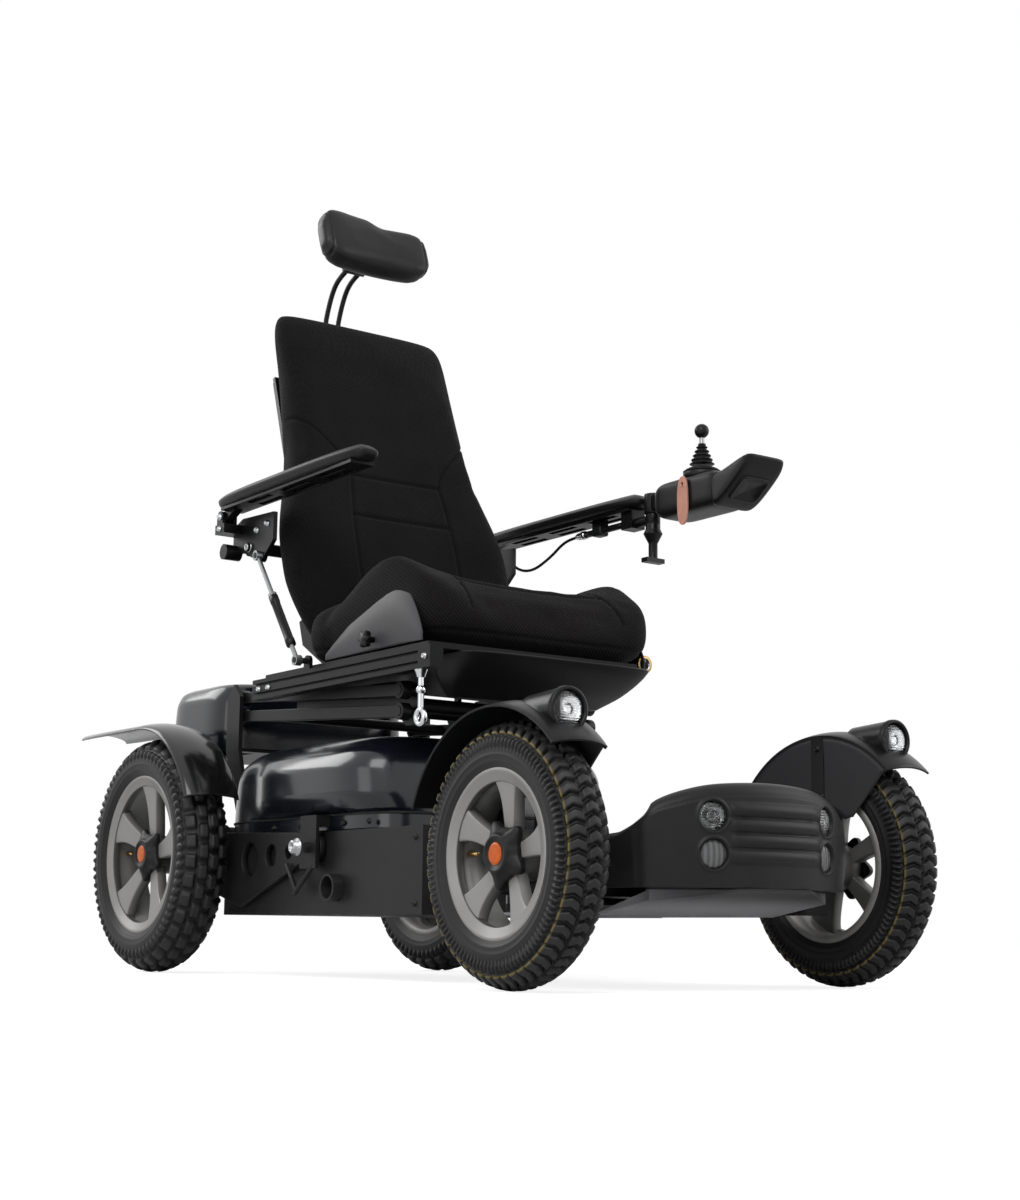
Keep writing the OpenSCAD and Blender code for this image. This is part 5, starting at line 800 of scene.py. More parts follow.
# The tail's lighter grey is painted light standing in for light let through the thin plastic.
tint(guard_gloss, "tail", (0.2, 0.205, 0.215, 1))
guard_r, guard_half, guard_rise, guard_reach = rear_r + 0.018, 0.052, 0.009, 0.262
knee_turn = math.radians(87)
for side, s in sides:
    body = "rear_arm_" + side + "_body"
    arch = np.linspace(math.radians(180 - 24), knee_turn, 90)
    knee = np.array([guard_r * math.cos(knee_turn), guard_r * math.sin(knee_turn)])
    tail = np.linspace(0, 1, 50)[1:]
    tail_y = knee[0] + tail * (guard_reach - 0.0015 - knee[0])
    tail_z = knee[1] + tail * 0.0015
    line_y = np.concatenate([guard_r * np.cos(arch), tail_y])
    line_z = np.concatenate([guard_r * np.sin(arch), tail_z])
    step_y, step_z = np.gradient(line_y), np.gradient(line_z)
    norm = np.hypot(step_y, step_z)
    up_y, up_z = -step_z / norm, step_y / norm
    wide = np.linspace(-1, 1, 41)[None, :]
    arc = guard_rise * (1 - wide ** 2) - 0.0045 * np.abs(wide) ** 14
    narrow = np.concatenate([np.ones_like(arch), 1 - 0.10 * tail ** 6])[:, None]
    grid = points_of(s * wheel_x + s * guard_half * wide * narrow, rear_y + line_y[:, None] + up_y[:, None] * arc,
                     rear_r + line_z[:, None] + up_z[:, None] * arc)
    painted_through_light = np.concatenate([np.zeros_like(arch), np.clip((tail - 0.15) / 0.85, 0, 1) ** 1.2])[:, None] + 0 * wide
    surface("rear_guard_skin_" + side, [grid], guard_gloss, body,
            ["rear_mudguard_" + side], marks={"tail": [painted_through_light]}, wall=0.003, offset=0.0, closed=False)
    stay_y = np.linspace(-0.02, 0.02, 9)[None, :]
    stay_z = np.linspace(rear_r + 0.034, rear_r + guard_r + 0.003, 24)[:, None]
    stay_x = s * (0.2500 + 0.0055 * soft_curve((stay_z - rear_r) / guard_r, [0, 0.6, 0.9, 1.1], [0, 0.0, 0.8, 1.0]))
    stay = points_of(stay_x, rear_y + stay_y, stay_z)
    surface("rear_guard_stay_" + side, [stay], arm_coat, body, wall=0.004, offset=0.0, closed=False)
    surface("rear_guard_bolts_" + side, [bolt((s * 0.253, rear_y + d, rear_r + 0.05), (s, 0, 0), 0.005)
                                         for d in (-0.011, 0.011)], bolt_zinc, body)

# Seat lift
# Two pairs of parallel arms and the carriage they carry, plate and bar steel coated black, on plain steel pins.
dress(arm_coat, "lift_arms_lower", "lift_arms_upper", "seat_carriage", edge=0.001)

# Seat rails, tray and fittings
# Extruded aluminium rails with two grooves under the pan, anodised black; a formed tray under the front edge; forged
# eyes and a bright accessory tube.
rail_anodised = coating("black_anodised", (0.0082, 0.0084, 0.009), 0.34, grain=0.0006, relief=0.00003, patch=0.2,
                        dust=0.05, metal=0.5)
dress(rail_anodised, "seat_rails", edge=0.0008)
rail_side, rail_z = 0.2502, 0.4905
rail_screws = [bolt((s * rail_side, y + middle, rail_z), (s, 0, 0), 0.0048)
               for s, foremost in ((-1, -0.232), (1, -0.018)) for y in (foremost, 0.296, 0.262)]
surface("rail_screws", rail_screws, bolt_zinc, "seat")
bright = coating("bright_chrome", (0.62, 0.63, 0.64), 0.12, grain=0.002, relief=0.00002, dust=0.02, metal=1.0)
dress(bright, "tie_down_eyes", "receptacle_tube")
tube_cap = [(0.011, 0.002), (0.0148, 0.002), (0.0152, 0.0), (0.0152, -0.010), (0.0150, -0.012)]
tube_x, tube_y, tube_z, tube_more = 0.243, -0.137 + middle, 0.5291, 0.026
sleeve = [(0.011, -0.004), (0.0142, -0.004), (0.0146, -0.002), (0.0146, tube_more), (0.011, tube_more),
          (0.011, -0.004)]
surface("tube_sleeve", [turned(sleeve, 48, (tube_x, tube_y, tube_z), (0, -1, 0))], bright, "seat")
surface("tube_brass_ring", [turned(tube_cap, 48, (tube_x, tube_y - tube_more, tube_z), (0, -1, 0))], valve_brass,
        "seat")
tray_up = np.concatenate([np.linspace(0, 0.08, 8), np.linspace(0.08, 1, 30)[1:]])[:, None]
tray_deep = soft_curve(tray_up, [0, 0.35, 0.8, 1], [0.22, 0.6, 0.92, 1]) * 0.128
tray_wide = soft_curve(tray_up, [0, 0.35, 0.8, 1], [0.76, 0.88, 0.97, 1]) * 0.190
tray_x, tray_y = rounded_ring(angle, tray_wide, tray_deep / 2, 0.4)
tray = points_of(tray_x, tray_y - 0.134 + middle - tray_deep / 2, 0.446 + tray_up * 0.0587)
foot = tray[:1].mean(1, keepdims=True)
tray = np.concatenate(drawn_in(tray[:1], foot, 0.0, 0.5, 0.9) + [tray])
tray_moulding = coating("tray_moulding", (0.0065, 0.0065, 0.007), 0.42, grain=0.0012, relief=0.0001, dust=0.05)
surface("tray_shell", [tray], tray_moulding, "seat", ["seat_tray"], wall=0.003)

# Seat cushion
# Moulded foam in a black twill cover. High bolsters rise beside the thighs and fall toward the front roll; sewn
# channels follow the bolsters' feet and cross behind the roll. It rests flat on the pan.


def twill(name, colour, thread=0.0046):
    """Twill cloth: slanting ribs of thread in the relief and the tone, crossed by the finer weft, with worn lint
    patches and a soft sheen; the seam mark darkens the stitched channels."""
    cloth = coating(name, colour, 0.86, grain=0.0007, relief=0.0001, patch=0.07, shade=0.2, dust=0.0, shine=0.12)
    tree = cloth.node_tree
    skin = tree.nodes["Principled BSDF"]
    put(tree, skin, Sheen_Weight=0.035, Sheen_Roughness=0.45)
    spot = add(tree, "ShaderNodeTexCoord")
    lie = add(tree, "ShaderNodeMapping", Vector=spot.outputs["Object"], Rotation=(0.6, 0.5, 0.75))
    warp = add(tree, "ShaderNodeTexWave", {"wave_type": "BANDS", "bands_direction": "X", "wave_profile": "SIN"},
               Vector=lie.outputs[0], Scale=0.314 / thread)
    weft = add(tree, "ShaderNodeTexWave", {"wave_type": "BANDS", "bands_direction": "Y", "wave_profile": "TRI"},
               Vector=lie.outputs[0], Scale=0.5 / thread)
    weave = calc(tree, "MULTIPLY_ADD", weft.outputs["Fac"], 0.4, warp.outputs["Fac"])
    under = skin.inputs["Base Color"].links[0].from_socket
    thread_tone = add(tree, "ShaderNodeMix", {"data_type": "RGBA", "blend_type": "MULTIPLY"}, i0=0.85, i6=under,
                      i7=weave.outputs[0])
    bump = add(tree, "ShaderNodeBump", Strength=0.8, Distance=0.0007, Height=weave.outputs[0],
               Normal=skin.inputs["Normal"].links[0].from_socket)
    tree.links.new(thread_tone.outputs[2], skin.inputs["Base Color"])
    tint(cloth, "seam", (0.003, 0.003, 0.0035, 1))
    tree.links.new(bump.outputs[0], skin.inputs["Normal"])
    return cloth


def stuffed(form, voxel, hold, cap, pressure):
    """Fills a sewn cover: the closed form is remeshed at the voxel size, blown up as stiff cloth for twenty frames
    with the held points pinned, each point's way held to the cap, eased by a smoothing pass and subdivided once.
    Returns the points and their normals."""
    scene = bpy.context.scene
    remesh = form.modifiers.new("voxels", "REMESH")
    remesh.mode, remesh.voxel_size, remesh.use_smooth_shade = "VOXEL", voxel, True
    finish = form.data.materials[0]
    bare = bpy.data.meshes.new_from_object(form.evaluated_get(bpy.context.evaluated_depsgraph_get()))
    form.modifiers.clear()
    form.data = bare
    start = np.empty(len(bare.vertices) * 3)
    bare.vertices.foreach_get("co", start)
    start = start.reshape(-1, 3)
    pins = form.vertex_groups.new(name="held")
    pins.add(np.nonzero(hold(start))[0].tolist(), 1.0, "REPLACE")
    cloth = form.modifiers.new("cloth", "CLOTH")
    cloth.settings.quality = 5
    cloth.settings.tension_stiffness = cloth.settings.compression_stiffness = 40.0
    cloth.settings.bending_stiffness = 12.0
    cloth.settings.vertex_group_mass = "held"
    cloth.settings.use_pressure = True
    cloth.settings.uniform_pressure_force = pressure
    cloth.settings.effector_weights.gravity = 0.0
    last_frame = 20
    cloth.point_cache.frame_start, cloth.point_cache.frame_end = 1, last_frame
    for f in range(1, last_frame + 1):
        scene.frame_set(f)
    blown = form.evaluated_get(bpy.context.evaluated_depsgraph_get()).data
    ends = np.empty(len(blown.vertices) * 3)
    blown.vertices.foreach_get("co", ends)
    way = ends.reshape(-1, 3) - start
    far = np.linalg.norm(way, axis=1, keepdims=True)
    start = start + way * np.minimum(1, cap / np.maximum(far, 1e-9))
    form.modifiers.clear()
    form.vertex_groups.clear()
    scene.frame_set(1)
    bare.vertices.foreach_set("co", start.ravel())
    bare.update()
    ease_out = form.modifiers.new("ease_out", "SMOOTH")
    ease_out.factor, ease_out.iterations = 0.5, 12
    smooth = form.modifiers.new("smooth", "SUBSURF")
    smooth.levels = smooth.render_levels = 1
    fine = bpy.data.meshes.new_from_object(form.evaluated_get(bpy.context.evaluated_depsgraph_get()))
    form.modifiers.clear()
    form.data = fine
    fine.materials.clear()
    fine.materials.append(finish)
    fine.shade_smooth()
    points, normals = np.empty(len(fine.vertices) * 3), np.empty(len(fine.vertices) * 3)
    fine.vertices.foreach_get("co", points)
    fine.vertices.foreach_get("normal", normals)
    return points.reshape(-1, 3), normals.reshape(-1, 3)


def sew(form, points, seam):
    """Puts points back into a stuffed form with its seam mark."""
    form.data.vertices.foreach_set("co", points.ravel())
    form.data.attributes.new("seam", "FLOAT", "POINT").data.foreach_set("value", seam.astype(np.float32))
    form.data.update()


def fullness(way, power, least=0.0):
    """Share of the full size at the distance way from the middle: the root of one less a power of it, held at the
    least."""
    return np.maximum(least, np.sqrt(np.maximum(0, 1 - np.abs(way) ** power)))


pan_z = 0.5143
cushion_half, cushion_front, cushion_rear = 0.233, -0.226 + middle, 0.166 + middle
cushion_thick, bolster = 0.114, 0.090


def cushion_height(u, v):
    """Height of the cushion at u across and v along: the foam thins behind the roll, and the bolster adds a bell
    along v that grows with the fourth power of u."""
    reach = np.where(v < 0.37, 0.25, 0.4)
    return cushion_thick * (1 - 0.1 * ease((v - 0.1) / 0.4)) + bolster * np.abs(u) ** 4 * bell(v - 0.37, reach)


v = (1 - np.cos(np.linspace(0, np.pi, 61)))[:, None] / 2
loop = around(120)
u, rise = rounded_ring(loop, 1, 1, 0.36)
rise = (1 + rise) / 2
full = fullness(2 * v - 1, np.where(v > 0.5, 30, 9), 0.2)
shrink = 0.003
h = cushion_height(u, v) - shrink
half = (cushion_half - shrink) * (1 - 0.3 * (1 - full)) * (1 - 0.05 * (1 - np.sin(np.pi * rise)))
half = half * (1 + 0.035 * ease((v - 0.8) / 0.08))
cushion_y = cushion_front + shrink + v * (cushion_rear - cushion_front - 2 * shrink)
form = points_of(-half * u, cushion_y, pan_z + h * (1 - full) * 0.42 + h * full * rise)
cushion_cloth = twill("seat_twill", (0.0068, 0.0056, 0.0062))
seat_cushion = surface("seat_cushion_cover", [capped(form)], cushion_cloth, "seat",
                       ["seat_cushion"])
points, normals = stuffed(seat_cushion, voxel=0.006, hold=lambda p: p[:, 2] < pan_z + 0.004, cap=0.012, pressure=2.5)
u = points[:, 0] / cushion_half
v = (points[:, 1] - cushion_front) / (cushion_rear - cushion_front)
on_top = np.clip((normals[:, 2] + 0.1) / 0.4, 0, 1)
side_seam = bell(np.abs(u) - 0.66 + 0.05 * np.sin(np.pi * v), 0.011) * on_top * (v > 0.02)
roll_seam = bell(v - 0.155 - 0.02 * u * u, 0.013) * on_top * (np.abs(u) < 0.64)
edge_seam = bell(points[:, 2] - pan_z - 0.026, 0.003) * (np.abs(normals[:, 2]) < 0.7)
seam = np.clip(side_seam + roll_seam + edge_seam, 0, 1)
crease = 0.0004 * np.sin(points[:, 0] * 95 + 3 * np.sin(points[:, 1] * 40)) * bell(v - 0.2, 0.1) * on_top
points = points - normals * (0.0042 * (side_seam + roll_seam) + 0.002 * edge_seam - crease)[:, None]
points[:, 2] = np.maximum(points[:, 2], pan_z)
sew(seat_cushion, points, seam)

# Side panels of the seat
# A thin moulded panel beside each thigh, semi matt grey, held at the rail by a black star knob. The left one is
# shorter in front, where the accessory tube lies.
panel_grey = coating("panel_grey", (0.05, 0.05, 0.053), 0.42, grain=0.0012, relief=0.00008, dust=0.0)
knob_black = coating("knob_black", (0.0065, 0.0065, 0.007), 0.3, grain=0.0008, relief=0.00008, dust=0.0)
panel_peak = -0.094
for side, s in sides:
    panel_tip = -0.202 if s < 0 else -0.172
    along_y = np.linspace(0.090, panel_tip, 80)[None, :]
    slope = np.where(along_y > panel_peak, 0.188, -0.092 - panel_tip)
    hump = np.clip(1 - np.abs((along_y - panel_peak) / slope), 0, 1)
    hump = np.where(along_y > panel_peak, hump ** 0.9, np.sin(hump * np.pi / 2) ** 0.8)
    hump = hump - 0.05 * bell(along_y - panel_peak, 0.02)
    rise = np.linspace(0, 1, 24)[:, None]
    z = 0.520 + rise * (0.006 + 0.108 * hump)
    x = s * (0.2355 + 0.0040 * np.sin(np.pi * rise) * hump - 0.010 * rise ** 3 * hump)
    grid = points_of(x, along_y + middle, z)
    surface("side_panel_" + side, [grid], panel_grey, "seat", wall=0.003, offset=0.0, closed=False)
    turn = around(90)
    rows = np.array([(0.0, -0.004), (0.005, -0.004), (0.005, 0.004), (0.011, 0.005), (0.0125, 0.008), (0.0125, 0.014),
                     (0.011, 0.017), (0, 0.0175)])
    star = np.where(rows[:, :1] > 0.006, 1 + 0.16 * np.cos(6 * turn), 1.0)
    size = (rows[:, :1] * star)[..., None]
    grid = np.array([s * 0.2435, -0.064 + middle, 0.536]) + size * points_of(0, np.cos(turn), np.sin(turn))
    grid = grid + np.array([s, 0, 0]) * (rows[:, 1:] + 0 * turn)[..., None]
    surface("panel_knob_" + side, [grid], knob_black, "seat")

# Back frame and cushion
# A panel on two tubes, anodised black, behind a tall foam cushion in the same twill. The cushion narrows toward its
# top, its wings come forward at the waist, and sewn channels follow the wings and frame the small of the back.
lean = math.radians(18.5)
hinge = np.array([0.0, 0.175 + middle, 0.545])


def on_back(p):
    """Points drawn upright from the hinge line, leant back about it by the rest angle."""
    return hinge + points_of(p[..., 0], p[..., 2] * math.sin(lean) + p[..., 1] * math.cos(lean),
                             p[..., 2] * math.cos(lean) - p[..., 1] * math.sin(lean))


def off_back(p):
    """The same points brought upright again."""
    q = p - hinge
    return points_of(q[:, 0], q[:, 1] * math.cos(lean) - q[:, 2] * math.sin(lean),
                     q[:, 1] * math.sin(lean) + q[:, 2] * math.cos(lean))


dress(rail_anodised, "back_frame", edge=0.001)
back_low, back_long, back_thick, back_rear = 0.024, 0.700, 0.084, 0.061
top_half, wing_half, foot_half = 0.191, 0.243, 0.216


def back_half(s):
    """Half width at the share s of the height: eased from foot to wing, held there, then eased in to the waist and
    the top."""
    return np.where(s < 0.2, foot_half + (wing_half - foot_half) * ease(s / 0.2),
                    wing_half + (top_half - wing_half) * (0.72 * ease((s - 0.26) / 0.34)
                                                          + 0.28 * ease((s - 0.5) / 0.4)))


s = (1 - np.cos(np.linspace(0, np.pi, 71)))[:, None] / 2
full = fullness(2 * s - 1, 12, 0.2)
u, d = rounded_ring(loop, 1, 1, 0.5)[0], rounded_ring(loop, 1, 1, 0.6)[1]
half = (back_half(s) - shrink) * (0.86 + 0.14 * full) * (1 - 0.1 * np.maximum(0, d))
wing = np.abs(u) ** 3 * (0.016 * np.sin(np.pi * s) + 0.014 * bell(s - 0.3, 0.16))
deep = back_rear - back_thick / 2 + (back_thick / 2 - shrink) * full * d - np.where(d < 0, -wing * d, 0)
form = on_back(points_of(half * u, deep, back_low + shrink + s * (back_long - 2 * shrink)))
back_cloth = twill("back_twill", (0.0052, 0.0048, 0.0052))
back_cushion = surface("back_cushion_cover", [capped(form)], back_cloth, "back",
                       ["back_cushion"])
points, normals = stuffed(back_cushion, voxel=0.006, hold=lambda p: off_back(p)[:, 1] > back_rear - 0.008, cap=0.010,
                          pressure=2.0)
flat = off_back(points)
up = (flat[:, 2] - back_low) / back_long
u = flat[:, 0] / back_half(np.clip(up, 0, 1))
in_front = np.clip((-off_back(normals + hinge)[:, 1] + 0.05) / 0.4, 0, 1)
waist_half = 0.44
wing_way = np.abs(u) - waist_half - 0.56 * ease((up - 0.47) / 0.23)
wing_seam = bell(wing_way, 0.012) * in_front * (up > 0.02) * (up < 0.7)
waist = bell(up - 0.475, 0.0055) + bell(up - 0.355, 0.0055)
waist = waist * in_front * (np.abs(u) < waist_half)
edge_seam = bell(flat[:, 1] - 0.044, 0.0028)
seam = np.clip(wing_seam + waist + edge_seam, 0, 1)
points = points - normals * (0.0036 * (wing_seam + waist) + 0.002 * edge_seam)[:, None]
flat = off_back(points)
flat[:, 1] = np.minimum(flat[:, 1], back_rear + 0.0005)
sew(back_cushion, on_back(flat), seam)

# Headrest posts
# Two thin bent rods slide in the back's socket and carry the tilt pin of the headrest on a short cross tube.


def eased_path(points, rounds=3):
    """A path with its corners cut: each round keeps the points at a quarter and three quarters of every stretch."""
    points = np.array(points, float)
    for _ in range(rounds):
        inner = np.stack([0.75 * points[:-1] + 0.25 * points[1:], 0.25 * points[:-1] + 0.75 * points[1:]],
                         1).reshape(-1, points.shape[1])
        points = np.concatenate([points[:1], inner[1:-1], points[-1:]])
    return points


def bar(path, radius, beside, steps=20):
    """A round bar: a circle of the radius carried square along a path, with closed ends; beside is a direction that
    the path never takes."""
    ahead = unit(np.gradient(path, axis=0))
    first = unit(np.cross(ahead, beside))
    second = np.cross(ahead, first)
    a = around(steps)[..., None]
    ring = path[:, None] + radius * (np.cos(a) * first[:, None] + np.sin(a) * second[:, None])
    return np.concatenate([path[:1, None] + 0 * ring[:1], ring, path[-1:, None] + 0 * ring[-1:]])


tilt_z = 0.845
post_line = eased_path([(0.118, 0.470), (0.118, 0.753), (0.044, tilt_z), (-0.014, tilt_z)])
posts = [bar(on_back(points_of(s * 0.014, post_line[:, 0], post_line[:, 1])), 0.005, (1.0, 0.0, 0.0))
         for s in (-1, 1)]
level = np.linspace(-1, 1, 5)
posts.append(bar(on_back(points_of(0.022 * level, -0.014, tilt_z)), 0.0075, (0.0, 0.0, 1.0)))
posts.append(bar(on_back(points_of(0.024 * level, -0.033, tilt_z)), 0.004, (0.0, 0.0, 1.0)))
posts.append(bar(on_back(points_of(0, -0.0235 + 0.0095 * level, tilt_z)), 0.007, (1.0, 0.0, 0.0)))
surface("headrest_rods", posts, arm_coat, "headrest_stem", ["headrest_posts"])

# Headrest pad
# A steel plate behind foam under dark grey vinyl, bowed round the head, with a piped seam at each end.
dress(arm_coat, "headrest_plate")
vinyl = coating("headrest_vinyl", (0.016, 0.0161, 0.0172), 0.36, grain=0.0016, relief=0.00016, patch=0.05, shade=0.14,
                dust=0.0)
tint(vinyl, "seam", (0.008, 0.008, 0.009, 1))
pad_w, pad_h, pad_t, pad_y, pad_shrink = 0.240, 0.104, 0.058, -0.0813, 0.002
w = -np.cos(np.linspace(0, np.pi, 41))[:, None]
full = fullness(w, 9, 0.5)
c, q = rounded_ring(loop, (pad_t / 2 - pad_shrink) * full, (pad_h / 2 - pad_shrink) * full, 0.42)
ridge = 0.012 * (1 - ease((w + 0.14) / 0.3)) * np.clip(q / 0.03, 0, 1) * ease((w + 1.02) / 0.14)
form = on_back(points_of((pad_w / 2 - pad_shrink) * w, pad_y - 0.012 * w * w + c, tilt_z + q + ridge))
headrest = surface("headrest_cover", [capped(form)], vinyl, "headrest", ["headrest_pad"])
plate_front = -0.0523
points, normals = stuffed(headrest, voxel=0.004, hold=lambda p: off_back(p)[:, 1] > plate_front - 0.004, cap=0.004,
                          pressure=1.5)
flat = off_back(points)
end_seam = bell(np.abs(flat[:, 0]) - 0.104, 0.0022)
pipe = bell(np.abs(flat[:, 0]) - 0.1075, 0.0020)
points = points + normals * (0.0010 * pipe - 0.0016 * end_seam)[:, None]
flat = off_back(points)
flat[:, 1] = np.minimum(flat[:, 1], plate_front + 0.0003 + 10 * (np.abs(flat[:, 0]) > 0.06))
sew(headrest, on_back(flat), end_seam)

# Arms
# Plate brackets on the back frame, levelling rods with a black turnbuckle sleeve, and slotted rails under moulded
# foam pads with a fine pebbled skin.
dress(rail_anodised, "arm_brackets", "arm_rail_right", "arm_rail_left", edge=0.0008)
dress(drawn_steel, "arm_rods")
bracket_bolts = [bolt((s * 0.2621, y + middle, z), (s, 0, 0), size) for s in (-1, 1)
                 for y, z, size in [(0.327, 0.7472, 0.0085), (0.262, 0.780, 0.0055), (0.300, 0.774, 0.0055)]]
bracket_bolts += [bolt((s * 0.2994, 0.372 + middle, z), (s, 0, 0), size) for s in (-1, 1)
                  for z, size in [(0.805, 0.006), (0.783, 0.0048)]]
surface("bracket_bolts", bracket_bolts, bolt_zinc, "brackets")
rod_low = np.array([0.130 + middle, 0.522])
arm_pin = on_back(np.array([0.0, 0.080, 0.240]))
rod_high = rod_low + arm_pin[1:] - hinge[1:]
sleeve = [(0.0046, 0.0), (0.0085, 0.002), (0.0085, 0.014), (0.0078, 0.016), (0.0078, 0.1), (0.0085, 0.102),
          (0.0085, 0.116), (0.0046, 0.118)]
run = unit(np.array([0.0, *(rod_high - rod_low)]))
surface("rod_sleeves", [turned(sleeve, 24, np.array([s * 0.2683, *rod_low]) + run * 0.034, run) for s in (-1, 1)],
        knob_black, "rods")
pad_skin = coating("pebbled_pad", (0.007, 0.007, 0.0074), 0.4, grain=0.0021, relief=0.00022, patch=0.1, dust=0.0)
arm_x = 0.285
pad_front, pad_back = 0.372 - 0.490 + middle, 0.372 + 0.006 + middle
pad_half_y, pad_mid_y = (pad_back - pad_front) / 2, (pad_back + pad_front) / 2
pad_half_x, pad_low, pad_tall = 0.035, 0.8193, 0.027
up = np.concatenate([np.linspace(0, 0.5, 12), 0.5 + 0.5 * np.sin(np.linspace(0, 1, 22)[1:] * np.pi / 2)])[:, None]
tuck = soft_curve(up, [0, 0.1, 0.3, 0.45, 0.55, 0.8, 1], [0.3, 0.12, 0.02, 0.0, 0.06, 0.34, 0.8]) * pad_half_x
for side, s in sides:
    px, py = rounded_ring(angle, pad_half_x - tuck, pad_half_y - tuck, 0.55)
    pad = points_of(px + s * arm_x, py + pad_mid_y, pad_low + up * pad_tall)
    crown = np.array([s * arm_x, pad_mid_y, pad_low + pad_tall + 0.001])
    under = np.array([s * arm_x, pad_mid_y, pad_low])
    pad = np.concatenate(drawn_in(pad[:1], under, 0.0, 0.5) + [pad] + drawn_in(pad[-1:], crown, 0.8, 0.5, 0.0))
    made = surface("arm_pad_skin_" + side, [pad], pad_skin, "arm_" + side, ["arm_pad_" + side])

# Control rod and cable
# A black tube under the left rail carries the controller. A saddle holds it to the rail, and its rear end has a
# bright connector, from which the sheathed cable sags back to the rail's rear block, into which it goes.
rod_z = 0.7965
rod_front, rod_rear, rail_foot = -0.1002, 0.022, 0.8128
run_y = np.linspace(rod_front, rod_rear, 6)
mount_rod = bar(points_of(arm_x, run_y, rod_z), 0.006, (1.0, 0.0, 0.0))
saddle_x, saddle_y = rounded_ring(angle, 0.0105, 0.013, 0.3)
saddle_size = np.array([0.0, 0.9, 1.0, 1.0, 0.0])[:, None]
saddle_z = np.array([0.787, 0.787, 0.789, rail_foot, rail_foot])[:, None]
saddle = points_of(arm_x + saddle_size * saddle_x, -0.022 + saddle_size * saddle_y, saddle_z)
surface("control_rod", [mount_rod, saddle], arm_coat, "arm_left")
plug = [(0.0, -0.002), (0.0075, -0.002), (0.0078, 0.0), (0.0078, 0.008), (0.0066, 0.009), (0.0066, 0.018),
        (0.005, 0.024), (0.0, 0.024)]
surface("cable_connector", [turned(plug, 32, (arm_x, rod_rear, rod_z), (0, 1, 0))], bright, "arm_left")
sheath = coating("cable_sheath", (0.006, 0.006, 0.0065), 0.45, grain=0.0007, relief=0.00005, dust=0.0)
cable_r = 0.0027
lay_line = eased_path([(rod_rear + 0.0235, rod_z), (0.085, 0.794), (0.130, 0.770), (0.190, 0.752), (0.245, 0.768),
                       (0.272, 0.808), (0.2943, 0.8095)], 4)
cable_line = points_of(arm_x, lay_line[:, 0], lay_line[:, 1])
cable = surface("control_cable", [bar(cable_line, cable_r, (1.0, 0.0, 0.0), 14)], sheath, "arm_left")

# Controller
# A moulded housing with a raised display hood, a rubber bellows round a bright stem with a black ball, a clamp knob
# under the arm, and a leather tag on a pin.
control_y, control_rear = -0.267 + middle, -0.178 + middle
stick_line = (arm_x, control_y, 0.0), (0, 0, 1)
housing = coating("controller_moulding", (0.0068, 0.0068, 0.0074), 0.34, grain=0.001, relief=0.0001, dust=0.0)
s = (1 - np.cos(np.linspace(0, np.pi, 40)))[:, None] / 2
full = fullness(2 * s - 1, 9)
c, q = rounded_ring(angle, 0.040 * (0.6 + 0.4 * full), 0.032 * full, 0.4)
shell = points_of(arm_x + c, control_rear - s * 0.170, 0.810 + q)
hood_rear, hood_low, hood_long, hood_tall = -0.330 + middle, 0.775, 0.098, 0.076
hood_outline = [(0, 0.02), (0, 0.66), (0.32, 0.75), (0.95, 1), (1, 0.94), (0.88, 0.66), (0.2, 0), (0, 0.02),
                (0, 0.66)]
hood_line = eased_path([(hood_rear - a * hood_long, hood_low + b * hood_tall) for a, b in hood_outline], 4)[4:-4]
spread = np.sin(np.linspace(-0.5, 0.5, 33) * np.pi)[:, None]
inset = 1 - 0.24 * (1 - fullness(spread, 7))
mid_line = hood_line.mean(0)
hood = points_of(arm_x + 0.044 * spread, mid_line[0] + inset * (hood_line[None, :, 0] - mid_line[0]),
                 mid_line[1] + inset * (hood_line[None, :, 1] - mid_line[1]))
hood = capped(hood)
frame_x, frame_s = rounded_ring(angle, 0.031, 0.026, 0.3)
frame_size = np.array([1.0, 1.0, 0.86, 0.83, 0.0])[:, None]
frame_lift = np.array([-0.001, 0.0016, 0.0016, 0.0001, 0.0001])[:, None]
slope_mid = np.array([arm_x, -0.383 + middle, 0.8001])
slope_way, slope_out = np.array([0.0, -0.799, 0.602]), np.array([0.0, -0.602, -0.799])
window = slope_mid + points_of(frame_size * frame_x, 0, 0) + (frame_size * frame_s)[..., None] * slope_way
window = window + (frame_lift + 0 * angle)[..., None] * slope_out
collar = turned([(0.016, 0.838), (0.0325, 0.838), (0.0325, 0.850), (0.031, 0.852), (0.016, 0.852), (0.016, 0.838)],
                64, *stick_line)
lug_z, swing_y = 0.8023, -0.137 + middle
lug_rows = [(0.0, 0.0), (0.0145, 0.0), (0.0155, 0.001), (0.0155, 0.034), (0.0145, 0.0355), (0.009, 0.0355),
            (0.009, 0.034), (0.0, 0.034)]
barrel = turned(lug_rows, 48, (arm_x, swing_y, lug_z), (0, 0, 1))
neck_x, neck_z = rounded_ring(angle, 0.0125, 0.0155, 0.35)
neck_run = np.array([0.0, 0.002, 0.03, 0.058])[:, None]
neck_size = np.array([0.0, 1.0, 1.0, 1.15])[:, None]
neck = points_of(arm_x + neck_size * neck_x, swing_y - 0.002 - neck_run, lug_z + 0.018 + neck_size * neck_z)
surface("controller_shell", [shell, hood, window, collar, barrel, neck], housing, "controller",
        ["controller_body"])
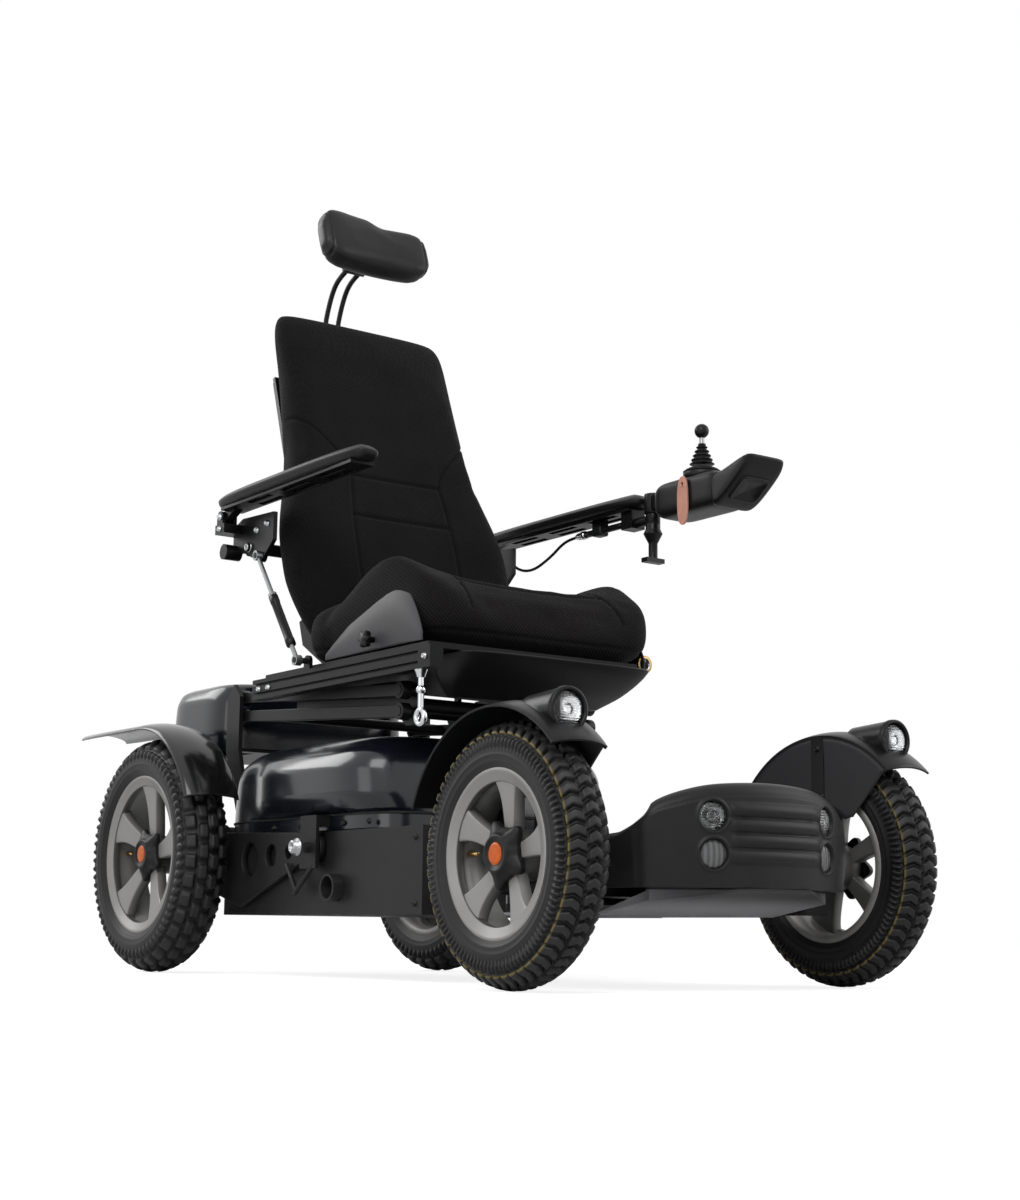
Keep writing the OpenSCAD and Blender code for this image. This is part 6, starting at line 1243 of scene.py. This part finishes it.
glass = coating("display_glass", (0.004, 0.0045, 0.0055), 0.08, grain=0.006, relief=0.00001, patch=0.05, shade=0.1,
                dust=0.0, coat=0.4, shine=0.5)
over_x, over_s = np.linspace(-0.034, 0.034, 20)[None, :], np.linspace(0.12, 0.88, 20)[:, None]
face_y = hood_rear - hood_long * (0.32 + 0.63 * over_s)
face_z = hood_low + hood_tall * (0.75 + 0.25 * over_s) + 0.0012
surface("display_glass", [points_of(arm_x + over_x, face_y, face_z)], glass, "controller",
        closed=False)
dress(knob_black, "clamp_knob", edge=0.001)
dress(drawn_steel, "joystick_gimbal")
boot_rubber = coating("boot_rubber", (0.0065, 0.0065, 0.007), 0.5, grain=0.0006, relief=0.00006, dust=0.0)
foot_folds = [(0.0325 - 0.0016 * k + 0.0010 * math.sin(k * 2.4), 0.8525 + 0.0012 * k) for k in np.linspace(0, 5, 16)]
ring_foot = [(0.017, 0.8523), (0.0325, 0.8523)] + foot_folds + [(0.017, 0.8588), (0.017, 0.8523)]
surface("bellows_foot", [turned(ring_foot, 56, *stick_line)], boot_rubber, "controller",
        ["joystick_boot"])
boot_z, ball_r, ball_z = 0.8665, 0.0125, 0.925
folds = [(0.0195 - 0.0115 * k + 0.0019 * math.cos(k * 2 * math.pi * 4), boot_z + 0.0300 * k)
         for k in np.linspace(0, 1, 60)]
bellows = [(0.0, boot_z)] + folds + [(0.0072, 0.8968), (0.0066, 0.9022), (0.0046, 0.9026)]
stem = [(0.0046, 0.9015), (0.0044, 0.903), (0.0044, 0.913)]
ball = [(ball_r * math.sin(k), ball_z - ball_r * math.cos(k)) for k in np.linspace(0.35, math.pi, 24)]
surface("stick_bellows", [turned(bellows, 56, *stick_line)], boot_rubber,
        "stick", ["joystick_stick"])
surface("stick_stem", [turned(stem, 32, *stick_line)], drawn_steel, "stick")
surface("stick_ball", [turned([(0.0045, 0.9125)] + ball, 48, *stick_line)], knob_black, "stick")
tag_leather = coating("tag_leather", (0.55, 0.27, 0.2), 0.5, grain=0.0012, relief=0.0002, patch=0.02, shade=0.18,
                      dust=0.0)
dress(tag_leather, "key_tag", edge=0.0008)
